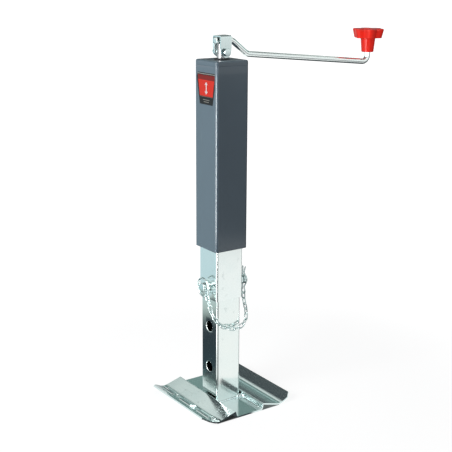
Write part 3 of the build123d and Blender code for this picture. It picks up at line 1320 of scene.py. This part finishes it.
    def bent_rod(self) -> Piece:
        """Round rod from its stub, down the steep drop, along the arm and up into the knob.

        Returns:
            The rod.
        """
        corners = [(self.stub_end, self.rod_height), *self.bends, (self.bends[-1][0], self.rod_end)]
        flat = resampled(rounded_line(corners, self.radii, 0.06), 6 * MM)
        grid = bar(stacked(flat[:, 0], 0, flat[:, 1]), self.rod, ACROSS, round_end=0.8 * MM, sides=40)
        return Patchwork("crank_arm").add(grid).build(self.finishes.rod_zinc)

    def bead(self) -> Piece:
        """Two rippled beads beside the rod, under the bracket's top.

        Each is a bar whose radius swells and shrinks with a sine of its length, one swell a ripple.

        Returns:
            The weld.
        """
        low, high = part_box("rod_weld")
        along = np.linspace(low.x, high.x + 0.2 * MM, 60)
        z = high.z - self.bead_radius
        parts = Patchwork("yoke_weld")
        for y in (-self.bead_y, self.bead_y):
            grid = bar(stacked(along, y, z), self.bead_radius, ACROSS, round_end=1.4 * MM, sides=20)
            ripple = 1 + 0.06 * np.sin((grid[..., :1] - low.x) / self.ripple * TAU)
            middle = stacked(grid[..., 0], y, z)
            parts.add(middle + (grid - middle) * ripple)
        return parts.build(self.finishes.weld)


@dataclass
class Knob(Assembly):
    """Six-lobed knob on a round stem, with the plug in its top."""

    lobes: int = 6
    reach: float = 34.0 * MM
    valley: float = 26.6 * MM
    head: float = 19.5 * MM
    taper: float = 0.885
    rim: float = 2.2 * MM
    under: float = 1.8 * MM
    fillet: float = 1.5 * MM
    ease: float = 1.2 * MM
    stem_foot: float = 13.0 * MM
    stem_neck: float = 15.6 * MM
    bore: float = 6.1 * MM
    plug: float = 10.5 * MM
    plug_edge: float = 0.8 * MM

    def lobed(self, angle: np.ndarray) -> np.ndarray:
        """Radius at each angle: broad round lobes with narrow valleys, from a flattened cosine."""
        wave = 0.5 + 0.5 * np.cos(self.lobes * angle)
        return self.valley + (self.reach - self.valley) * wave**0.62

    def build(self) -> None:
        """Build the knob and its plug."""
        low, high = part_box("crank_knob")
        centre = ((low.x + high.x) / 2, (low.y + high.y) / 2)
        settle(self.handle(centre, low.z, high.z), Body.KNOB, "red_knob", "crank_knob")
        settle(self.cover(centre, high.z), Body.KNOB, "red_knob", "knob_cap")

    def stem_rows(self, bottom: float, head_low: float) -> list[Pair]:
        """Heights and radii of the bore's mouth and the stem, up to the fillet under the head.

        Args:
            bottom: Height of the stem's foot.
            head_low: Height of the head's underside.

        Returns:
            A height and a radius for each row.
        """
        arc = quarter(6)
        ease, fillet, foot = self.ease, self.fillet, self.stem_foot
        tall, widen = head_low - bottom - ease - fillet, self.stem_neck - foot
        return [
            (bottom + 8 * MM, self.bore),
            (bottom + 0.4 * MM, self.bore),
            (bottom, self.bore + 0.4 * MM),
            *((bottom + ease * (1 - math.cos(a)), foot - ease * (1 - math.sin(a))) for a in arc),
            *((bottom + ease + tall * s, foot + widen * s) for s in np.linspace(0.15, 1, 6)),
            *(
                (head_low - fillet * (1 - math.sin(a)), self.stem_neck + fillet * (1 - math.cos(a)))
                for a in arc[1:]
            ),
        ]

    def head_rows(self, head_low: float, top: float, outline: np.ndarray) -> list[tuple[float, np.ndarray]]:
        """Heights and radii of the lobed head, from its underside to the plug's seat.

        Args:
            head_low: Height of the head's underside.
            top: Height of the knob's top.
            outline: Lobed radius at each angle.

        Returns:
            A height and a radius at each angle for each row.
        """
        arc = quarter(6)[1:]
        inner = outline * self.taper - self.under
        crown = outline - self.rim
        throat = self.stem_neck + self.fillet
        tall = self.head - self.under - self.rim
        seat = self.plug + 0.05 * MM
        return [
            *((head_low, throat * (1 - s) + inner * s) for s in (0.3, 0.65, 1.0)),
            *((head_low + self.under * (1 - math.cos(a)), inner + self.under * math.sin(a)) for a in arc),
            *(
                (head_low + self.under + tall * s, outline * (self.taper + (1 - self.taper) * s))
                for s in np.linspace(0.12, 1, 8)
            ),
            *((top - self.rim * (1 - math.sin(a)), outline - self.rim * (1 - math.cos(a))) for a in arc),
            *((top, crown * (1 - s) + (self.plug + 0.25 * MM) * s) for s in (0.25, 0.5, 0.75, 1.0)),
            (top - 0.5 * MM, seat),
            (top - 4 * MM, seat),
            (top - 4 * MM, self.bore),
        ]

    def handle(self, centre: Pair, bottom: float, top: float) -> Piece:
        """Knob's surface.

        Rows give a height, a share of the lobed outline, and a round radius to which that share blends,
        so the stem is round, the head is lobed, and both edges of the head are rounded.

        Args:
            centre: Place of the knob's axis.
            bottom: Height of the stem's foot.
            top: Height of the knob's top.

        Returns:
            The knob.
        """
        angle = circle(180)
        head_low = top - self.head
        rows = self.stem_rows(bottom, head_low) + self.head_rows(head_low, top, self.lobed(angle))
        height = np.array([z for z, _ in rows])[:, None]
        radius = np.stack([np.broadcast_to(r, angle.shape) for _, r in rows])
        grid = stacked(centre[0] + radius * np.cos(angle), centre[1] + radius * np.sin(angle), height)
        return Patchwork("knob_handle").add(grid, Wrap.RING).build(self.finishes.plastic, sharp=50)

    def cover(self, centre: Pair, top: float) -> Piece:
        """Low plug with a rounded edge and a shallow dished face.

        Args:
            centre: Place of the knob's axis.
            top: Height of the knob's top.

        Returns:
            The plug.
        """
        edge = self.plug_edge
        arc = quarter(6)
        lift = top + 0.6 * MM
        side = np.stack([self.plug - edge * (1 - np.cos(arc)), lift - edge * (1 - np.sin(arc))], 1)
        dish = np.array([[0.7, -0.15], [0.35, -0.35], [0, -0.4]]) * [self.plug, MM] + [0, lift]
        foot = [[0, top - 3 * MM], [self.plug, top - 3 * MM]]
        grid = turned(np.concatenate([foot, side, dish]), 56, centre)
        return Patchwork("knob_plug").add(grid).build(self.finishes.plastic, sharp=50)


@dataclass
class Ram(Assembly):
    """Plated ram with its nut, and the drop leg with its row of holes."""

    ram_wall: float = 2.77 * MM
    leg_wall: float = 3.05 * MM
    corner: float = 4.0 * MM
    hole: float = 11.1 * MM
    flare: float = 1.1 * MM
    pitch: float = 88.9 * MM
    holes: tuple[int, ...] = (-2, -1, 0, 1)

    def build(self) -> None:
        """Build both tubes and dress the nut and its plate."""
        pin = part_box("lock_pin")
        seat = (pin[0].z + pin[1].z) / 2
        play = self.hole - (pin[1].z - pin[0].z) / 2
        low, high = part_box("ram_tube")
        ram = SquareTube(high.x - low.x, self.ram_wall, self.corner, low.z, high.z)
        made = ram.build("ram_sleeve", self.finishes.ram_zinc)
        cut(made, hole_tool(self.hole, self.flare, high.x, seat - play))
        settle(made, Body.RAM, "zinc_plate", "ram_tube")
        low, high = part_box("drop_leg")
        leg = SquareTube(high.x - low.x, self.leg_wall, self.corner, low.z, high.z)
        made = leg.build("leg_tube", self.finishes.leg_zinc)
        for step in self.holes:
            cut(made, hole_tool(self.hole, self.flare, high.x, seat + play + step * self.pitch))
        settle(made, Body.RAM, "zinc_plate", "drop_leg")
        dress(self.finishes.steel, "nut_plate")
        dress(self.finishes.bronze, "lift_nut")


@dataclass
class Foot(Assembly):
    """Pressed foot plate with two ridges and turned-up lips, the left with pads, and the welds at the leg."""

    sheet: float = 3.0 * MM
    channel: float = 30.5 * MM
    crest: Pair = (0.0338, 0.0152)
    fold: float = 78.0 * MM
    lip: Pair = (0.1083, 0.0175)
    fold_radius: float = 24.0 * MM
    crest_radius: float = 2.4 * MM
    corner_cut: float = 11.0 * MM
    pads: int = 3
    pad_pitch: float = 66.0 * MM
    pad_length: float = 47.0 * MM
    pad_start: float = 74.0 * MM
    pad_end: float = 93.0 * MM
    pad_rise: float = 3.1 * MM
    pad_side: float = 3.2 * MM
    pad_ramp: float = 4.4 * MM
    rack_hole: float = 3.2 * MM
    rack_at: Pair = (-0.088, -0.093)
    bead: float = 2.6 * MM
    ripple: float = 2.6 * MM
    blob: Triple = (9.5 * MM, 4.6 * MM, 4.2 * MM)
    blob_off: Triple = (2.0 * MM, -1.0 * MM, 1.7 * MM)
    blob_ripple: float = 2.4 * MM

    def build(self) -> None:
        """Build the plate and its welds."""
        settle(self.plate(), Body.RAM, "zinc_foot", "foot_plate")
        settle(self.welds(), Body.RAM, "weld_metal", "foot_weld")

    def section(self) -> np.ndarray:
        """Pressed section, from the left lip to the right.

        Returns:
            Points of its upper line.
        """
        half = [(self.channel, self.sheet), self.crest, (self.fold, self.sheet), self.lip]
        corners = [(-x, z) for x, z in reversed(half)] + half
        radii = [self.fold_radius] + 4 * [self.crest_radius] + [self.fold_radius]
        return resampled(rounded_line(corners, radii, 0.12), 1.6 * MM)

    def pad_height(self, x: np.ndarray, y: np.ndarray) -> np.ndarray:
        """Rise of the pads: a product of smooth steps on the four sides of each.

        Args:
            x: Places across the plate.
            y: Places along it.

        Returns:
            The rise at each place.
        """
        across = smooth(-x - self.pad_start, self.pad_side) * smooth(self.pad_end + x, self.pad_side)
        places = (np.arange(self.pads) - (self.pads - 1) / 2) * self.pad_pitch
        near = np.min(np.abs(y[..., None] - places), axis=-1)
        return self.pad_rise * across * smooth(self.pad_length / 2 - near, self.pad_ramp)

    def plate(self) -> Piece:
        """Plate as the section carried along Y.

        The rows of Y shrink near the lips by what the corner is cut, so the outline has its cut corners.
        The pads are added along the section's normal, and the thickness goes below the upper surface.

        Returns:
            The plate.
        """
        _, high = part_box("foot_plate")
        line = self.section()
        along = tangents(line)
        room = high.y - np.maximum(np.abs(line[:, :1]) - (self.lip[0] - self.corner_cut), 0)
        y = room * np.linspace(-1, 1, 170)
        x = np.broadcast_to(line[:, :1], y.shape)
        rise = self.pad_height(x, y)
        grid = stacked(x + rise * -along[:, 1:], y, line[:, 1:] + rise * along[:, :1])
        made = Patchwork("foot_pressing").add(grid, Wrap.SHEET).build(self.finishes.foot_zinc, sharp=60)
        facing_down = made.data.polygons[0].normal.z < 0
        thickened(made, self.sheet, offset=1.0 if facing_down else -1.0)
        outward(fixed(made, sharp=40))
        self.drill(made)
        bevelled(made, width=0.45 * MM, segments=2)
        return made

    def drill(self, plate: Piece) -> None:
        """Take the small round hole out of the left lip.

        Args:
            plate: The plate.
        """
        low, high = -5 * MM, 40 * MM
        profile = np.array([[0, low], [self.rack_hole, low], [self.rack_hole, high], [0, high]])
        cut(plate, Patchwork("rack_tool").add(turned(profile, 28, self.rack_at)).build(None))

    def welds(self) -> Piece:
        """Rippled fillets along the front and back of the leg, and a blob at its front right corner.

        The section is a quarter round whose size swells with a sine of the length and tapers at the ends.
        The blob is an ellipsoid whose radius swells with a sine of its length.

        Returns:
            The welds.
        """
        low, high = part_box("foot_weld")
        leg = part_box("drop_leg")[1].y
        x = np.linspace(low.x, high.x, 110)[:, None]
        ripple = 0.90 + 0.07 * np.sin(x / self.ripple * TAU) + 0.03 * np.sin(x / (0.9 * MM))
        reach = self.bead * ripple * np.clip((high.x - np.abs(x)) / (3 * MM), 0, 1) ** 0.5
        angle = quarter(9)
        profile = np.concatenate([[[0, 0]], np.stack([np.cos(angle), np.sin(angle)], 1) ** 0.85])
        parts = Patchwork("leg_weld")
        for side in (-1, 1):
            y = side * (leg - 0.2 * MM + reach * profile[:, 0])
            grid = stacked(x, y, low.z - 0.1 * MM + reach * profile[:, 1])
            tip = np.repeat(grid[:, :1].mean(1, keepdims=True), grid.shape[1], 1)
            parts.add(np.concatenate([tip[:1], grid, tip[-1:]]))
        turn = np.linspace(0, math.pi, 26)
        length, wide, tall = self.blob
        along = -np.cos(turn) * length
        swell = np.sin(turn) * (1 + 0.05 * np.sin(along / self.blob_ripple * TAU))
        blob = turned(np.stack([swell, along], 1), 28)
        corner = np.add((leg, -leg, low.z), self.blob_off)
        parts.add(stacked(blob[..., 2], blob[..., 0] * wide, blob[..., 1] * tall) + corner)
        return parts.build(self.finishes.weld, sharp=60)


@dataclass
class LockPin(Assembly):
    """Lock pin, its ring handle, the spring clip and the tether chain."""

    chamfer: float = 1.5 * MM
    ring_x: float = -43.5 * MM
    ring_radius: float = 19.0 * MM
    ring_wire: float = 2.0 * MM
    clip_x: float = 55.0 * MM
    clip_wire: float = 1.4 * MM
    link_wire: float = 1.2 * MM
    clip_line: tuple[Pair, ...] = (
        (-9, 29), (-4.5, 16), (-16, 0), (-4.5, -16), (-9.5, -26), (-3, -33), (3, -26), (0, -17), (0, 29),
    )
    clip_bends: tuple[float, ...] = (5.0, 12.0, 6.0, 5.0, 4.0, 5.0, 8.0)

    def build(self) -> None:
        """Build the pin and all that hangs on it."""
        slot = "plated_hardware"
        low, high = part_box("lock_pin")
        height = (low.z + high.z) / 2
        settle(self.pin(low.x, high.x, (high.z - low.z) / 2, height), Body.RAM, slot, "lock_pin")
        settle(self.ring(height), Body.RAM, slot, "pin_ring")
        settle(self.clip(height), Body.RAM, slot, "retaining_clip")
        settle(self.chain(), Body.RAM, slot, "tether_chain")

    def pin(self, start: float, end: float, radius: float, height: float) -> Piece:
        """Round pin with eased ends, turned about its own axis along X.

        Args:
            start: Place of the left end.
            end: Place of the right end.
            radius: Pin's radius.
            height: Height of its axis.

        Returns:
            The pin.
        """
        arc = quarter(5)
        neck, sine, cosine = radius - self.chamfer, self.chamfer * np.sin(arc), self.chamfer * np.cos(arc)
        rim = np.stack([neck + sine, start + self.chamfer - cosine], 1)
        far = np.stack([neck + cosine, end - self.chamfer + sine], 1)
        profile = np.concatenate([[[0, start]], rim, far, [[0, end]]])
        return Patchwork("pin_body").add(lying(turned(profile, 56), height)).build(self.finishes.small_zinc)

    def ring(self, height: float) -> Piece:
        """Round wire hoop with a bar through the end of the pin.

        Args:
            height: Height of the pin's axis.

        Returns:
            The hoop.
        """
        angle = circle(96)
        hoop = stacked(
            self.ring_x, self.ring_radius * np.cos(angle), height + self.ring_radius * np.sin(angle)
        )
        rod = stacked(self.ring_x, np.linspace(-self.ring_radius, self.ring_radius, 12), height)
        parts = Patchwork("pin_hoop")
        parts.add(bar(hoop, self.ring_wire, ALONG_X, sides=20), Wrap.RING)
        parts.add(bar(rod, self.ring_wire * 0.96, ALONG_X, round_end=0.3 * MM, sides=20))
        return parts.build(self.finishes.small_zinc)

    def clip(self, height: float) -> Piece:
        """Spring wire clip in the plane across the pin.

        Args:
            height: Height of the pin's axis.

        Returns:
            The clip.
        """
        corners = np.array(self.clip_line) * MM
        flat = resampled(rounded_line(corners, np.array(self.clip_bends) * MM, 0.14), 2 * MM)
        path = stacked(self.clip_x, flat[:, 0], height + flat[:, 1])
        grid = bar(path, self.clip_wire, ALONG_X, round_end=0.5 * MM, sides=16)
        return Patchwork("pin_clip").add(grid).build(self.finishes.small_zinc)

    def chain(self) -> Piece:
        """Smooth links in the places of the solid ones.

        A solid link's own long, wide and thin axes are the directions in which its points spread most,
        less and least. Round wire then runs along two straights and two half circles of that size.

        Returns:
            The chain.
        """
        angle = np.linspace(-math.pi / 2, math.pi / 2, 13)
        parts = Patchwork("chain_links")
        for points in loose_parts(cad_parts["tether_chain"].data):
            middle = points.mean(0)
            _, _, axes = np.linalg.svd(points - middle, full_matrices=False)
            local = (points - middle) @ axes.T
            centre = middle + ((local.max(0) + local.min(0)) / 2) @ axes
            half = (local.max(0) - local.min(0)) / 2
            bend = half[1] - self.link_wire
            straight = half[0] - self.link_wire - bend
            end = np.stack([straight + bend * np.cos(angle), bend * np.sin(angle)], 1)
            path = centre + np.concatenate([end, -end]) @ axes[:2]
            parts.add(bar(path, self.link_wire, axes[2], sides=12), Wrap.RING)
        return parts.build(self.finishes.small_zinc, sharp=60)


def loose_parts(mesh: bpy.types.Mesh) -> list[np.ndarray]:
    """Points of each separate solid in a mesh of loose triangles.

    Points in the same place count as one, and each edge joins its two ends, so the smallest number
    that reaches a point names its solid.

    Args:
        mesh: The mesh.

    Returns:
        One array of points for each solid.
    """
    points = np.empty(len(mesh.vertices) * 3)
    mesh.vertices.foreach_get("co", points)
    points = points.reshape(-1, 3)
    edges = np.empty(len(mesh.edges) * 2, int)
    mesh.edges.foreach_get("vertices", edges)
    _, same = np.unique(np.round(points / SLIVER).astype(int), axis=0, return_inverse=True)
    edges = same.ravel()[edges.reshape(-1, 2)]
    label = np.arange(same.max() + 1)
    while True:
        least = np.minimum(label[edges[:, 0]], label[edges[:, 1]])
        new = label.copy()
        np.minimum.at(new, edges[:, 0], least)
        np.minimum.at(new, edges[:, 1], least)
        new = new[new]
        if np.array_equal(new, label):
            break
        label = new
    owner = label[same.ravel()]
    return [points[owner == name] for name in np.unique(owner)]


def placed(name: str, data: bpy.types.ID, *columns: Sequence[float]) -> Piece:
    """Put a lamp or a camera in the scene.

    Args:
        name: Name of the object.
        data: The lamp or camera.
        columns: Its X, Y and Z axes and its place.

    Returns:
        The new object.
    """
    turn = np.eye(4)
    turn[:3] = np.stack(columns, 1)
    made = bpy.data.objects.new(name, data)
    made.matrix_world = Matrix(turn.tolist())
    bpy.context.scene.collection.objects.link(made)
    return made


@dataclass(frozen=True)
class Lamp:
    """Square soft lamp that looks at a point.

    Args:
        name: Name of the lamp.
        place: Where it stands.
        aim: Where it looks.
        size: Width of its face.
        power: Its power in watts.
        spread: Width of its beam in degrees.
    """

    name: str
    place: Triple
    aim: Triple
    size: float
    power: float
    spread: float = 180.0

    def build(self) -> None:
        """Put the lamp in place: Z points back from where it looks, and X lies level."""
        data = bpy.data.lights.new(self.name, "AREA")
        data.spread = math.radians(self.spread)
        data.size = self.size
        data.energy = self.power
        back = np.subtract(self.place, self.aim)
        back = back / np.linalg.norm(back)
        side = np.cross(UP, back)
        side = side / np.linalg.norm(side)
        placed(self.name, data, side, np.cross(back, side), back, self.place)


@dataclass
class Studio:
    """White floor, soft lamps, the dark and bright places that the plating mirrors in the world and the
    floor, and the camera.

    Args:
        eye: Camera's place.
        yaw: Camera's bearing in degrees, from +Y towards +X.
        pitch: Degrees that it looks down.
        roll: Degrees that it leans.
        lens: Focal length in millimetres.
        sensor: Width of its sensor in millimetres.
        floor_half: Half width of the floor.
        floor_drop: Depth of the floor below the foot.
        back_turn: Degrees added to bearings, so that a band from the right to the back stays whole.
        painted_shadow_half: Half sizes of the painted shadow under the foot.
        painted_shadow_edge: Softness of its edge.
        foot_shade: Height up to which something over the floor brings on the painted shadow.
        lamps: The lamps.
    """

    eye: Triple = (-1.06963, -1.55245, 0.88581)
    yaw: float = 34.862
    pitch: float = 15.209
    roll: float = 0.295
    lens: float = 77.07
    sensor: float = 36.0
    floor_half: float = 30.0
    floor_drop: float = 0.2 * MM
    back_turn: float = 60.0
    painted_shadow_half: Pair = (79 * MM, 105 * MM)
    painted_shadow_edge: float = 3 * MM
    foot_shade: float = 30 * MM
    lamps: tuple[Lamp, ...] = (
        Lamp("key_lamp", (-2.3, -0.35, 1.4), (0, 0, 0.45), 1.5, 52.0),
        Lamp("top_lamp", (0.5, 0.8, 2.8), (0, 0, 0.4), 1.4, 10.0),
        Lamp("knob_lamp", (-0.4, -2.2, 0.75), (0.385, 0.0, 0.72), 0.4, 0.22, 14.0),
    )

    def build(self) -> None:
        """Set the view, the world, the floor, the lamps and the camera."""
        bpy.context.scene.view_settings.view_transform = "Standard"
        self.world()
        self.floor()
        for lamp in self.lamps:
            lamp.build()
        self.camera()

    def world(self) -> None:
        """Backdrop that is white to the eye, and dimmer for the light it gives.

        In mirrors it is white at the horizon, teal grey higher up at the back and dark over its upper
        edge, at bearings from the right round to the back. A dark place stands behind the camera, and a
        greyer one in front on the right.
        """
        g = Graph("studio", Target.WORLD)
        x, y, z = g.axes()
        bearing = y.bearing(x)
        shades = [
            (0.00, (0.97, 1.00, 0.99)),
            (0.16, (0.90, 0.95, 0.94)),
            (0.30, (0.42, 0.56, 0.54)),
            (0.40, (0.19, 0.30, 0.28)),
            (0.48, (0.13, 0.19, 0.18)),
            (0.55, (0.16, 0.21, 0.20)),
            (0.60, (0.84, 0.89, 0.86)),
            (0.67, (0.84, 0.89, 0.86)),
            (0.71, (0.060, 0.068, 0.072)),
            (1.00, (0.045, 0.055, 0.060)),
        ]
        backdrop = g.node("ShaderNodeValToRGB", {"stops": shades}, {0: z})
        at_back = y.bearing(x, self.back_turn).band(117.0, 78.0, 12.0)
        tone = g.mix(at_back, (0.97, 1.0, 0.99), backdrop)
        in_front = bearing.band(305.0, 13.0, 6.0) * z.band(0.42, 0.10, 0.07)
        tone = g.mix(in_front * 0.2, tone, (0.16, 0.24, 0.24))
        behind_camera = bearing.band(236.0, 14.0, 6.0) * z.ramp(0.75, 0.60)
        over_lip = bearing.band(104.0, 20.0, 5.0) * z.band(0.73, 0.16, 0.03)
        far_back = bearing.band(50.0, 18.0, 6.0) * z.band(0.06, 0.10, 0.05)
        ceiling = z.ramp(0.80, 0.88)
        dark = behind_camera.larger(over_lip).larger(far_back).larger(ceiling)
        tone = g.mix(dark, tone, (0.06, 0.07, 0.075))
        tone = g.mix(g.ray("Is Glossy Ray"), (1.0, 1.0, 1.0), tone)
        seen = g.ray("Is Camera Ray", "Is Glossy Ray", "Is Transmission Ray")
        g.output(g.blend(seen, g.glow((0.90, 0.95, 1.0), 0.14), g.glow(tone, 1.0)))
        bpy.context.scene.world = g.owner

    def floor(self) -> None:
        """Wide pale floor that keeps the shadow, and goes with the foot, so that it carries it at every pose.

        What gives light back is a plain diffuse grey, and what is seen is the floor's glow.
        """
        axis = np.linspace(-self.floor_half, self.floor_half, 3)
        grid = stacked(axis[:, None], axis, -self.floor_drop)
        g = Graph("studio_floor")
        lit = g.node("ShaderNodeBsdfDiffuse", {}, {"Color": (0.38, 0.38, 0.38, 1)})
        material = g.output(g.blend(g.ray("Is Camera Ray", "Is Glossy Ray"), lit, self.seen_floor(g)))
        made = Patchwork("studio_floor").add(grid, Wrap.SHEET).build(material)
        if made.data.polygons[0].normal.z < 0:
            made.data.flip_normals()
        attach(made, Body.RAM.value)

    def seen_floor(self, g: Graph) -> Wire:
        """Glow that hides the floor's edge, with a painted shadow where the foot stands close over it.

        In mirrors it has the look of a shop floor: pale far behind on the left, dark nearer, teal at
        the foot, with a bright strip and a dark strip beside each other in front.

        Args:
            g: Graph of the floor's material.

        Returns:
            The shader.
        """
        x, y, _ = g.axes()
        bearing = y.bearing(x)
        shades = [
            (0.00, (0.16, 0.28, 0.28)),
            (0.11, (0.16, 0.29, 0.29)),
            (0.18, (0.035, 0.058, 0.068)),
            (0.43, (0.030, 0.042, 0.052)),
            (0.50, (0.16, 0.20, 0.20)),
            (0.57, (0.50, 0.60, 0.57)),
            (0.63, (0.50, 0.60, 0.58)),
            (0.70, (0.57, 0.74, 0.78)),
            (1.00, (0.58, 0.75, 0.79)),
        ]
        away = x * -0.57 + y * 0.82
        behind = g.node("ShaderNodeValToRGB", {"stops": shades}, {0: away})
        mirror = g.mix(bearing.band(125.0, 24.0, 10.0), (0.98, 1.0, 0.99), behind)
        mirror = g.mix(bearing.band(250.0, 22.0, 6.0), mirror, (0.055, 0.065, 0.07))
        on_right = y.bearing(x, self.back_turn).band(74.0, 32.0, 8.0)
        mirror = g.mix(on_right, mirror, (0.06, 0.07, 0.075))
        far = g.node("ShaderNodeVectorMath", {"operation": "LENGTH"}, {0: g.place()}, "Value")
        outer = far.ramp(1.20, 1.40) * far.ramp(9.0, 4.5)
        mirror = g.mix(bearing.band(305.0, 30.0, 10.0) * outer, mirror, (0.34, 0.35, 0.36))
        strip = 1.8 * bearing.band(176.0, 14.0, 8.0) * far.ramp(0.25, 0.40)
        highlight = 14.0 * bearing.band(203.0, 13.0, 6.0) * outer
        mirror = g.glow(mirror, 1.0 + strip + highlight)
        # Painted shadow: under the foot, the floor's white glow turns near black where something stands close
        # above it.
        open_above = g.node("ShaderNodeAmbientOcclusion", {"samples": 8}, {"Distance": self.foot_shade}, "AO")
        closed = open_above.ramp(0.85, 0.60)
        half_x, half_y = self.painted_shadow_half
        under = (half_x - abs(x)).ramp(0.0, self.painted_shadow_edge) * (half_y - abs(y)).ramp(0.0, self.painted_shadow_edge)
        white = g.blend(closed * under, g.glow((1.0, 1.0, 1.0), 1.15), g.glow((0.012, 0.014, 0.013), 1.0))
        catching = g.node("ShaderNodeBsdfDiffuse", {}, {"Color": (1.0, 1.0, 1.0, 1)})
        shade = g.blend(0.25 * far.ramp(1.2, 0.4), white, catching)
        return g.blend(g.ray("Is Glossy Ray"), shade, mirror)

    def camera(self) -> None:
        """Camera at the photograph's place: forward from yaw and pitch, then rolled about that line."""
        yaw, pitch, roll = (math.radians(a) for a in (self.yaw, self.pitch, self.roll))
        ahead = math.cos(pitch)
        forward = np.array([math.sin(yaw) * ahead, math.cos(yaw) * ahead, -math.sin(pitch)])
        right = np.array([math.cos(yaw), -math.sin(yaw), 0.0])
        up = np.cross(right, forward)
        side = right * math.cos(roll) + up * math.sin(roll)
        data = bpy.data.cameras.new("studio_camera")
        data.sensor_width = self.sensor
        data.lens = self.lens
        above = up * math.cos(roll) - right * math.sin(roll)
        bpy.context.scene.camera = placed("studio_camera", data, side, above, -forward, self.eye)


def main() -> None:
    """Build the studio and every sub-assembly of the jack."""
    logging.basicConfig(level=logging.INFO, format="%(message)s")
    Studio().build()
    finishes = Finishes()
    for kind in (Housing, LiftingScrew, Crank, Knob, Ram, Foot, LockPin):
        LOG.info("building %s", kind.__name__)
        kind(finishes).build()


if __name__ == "__main__":
    main()
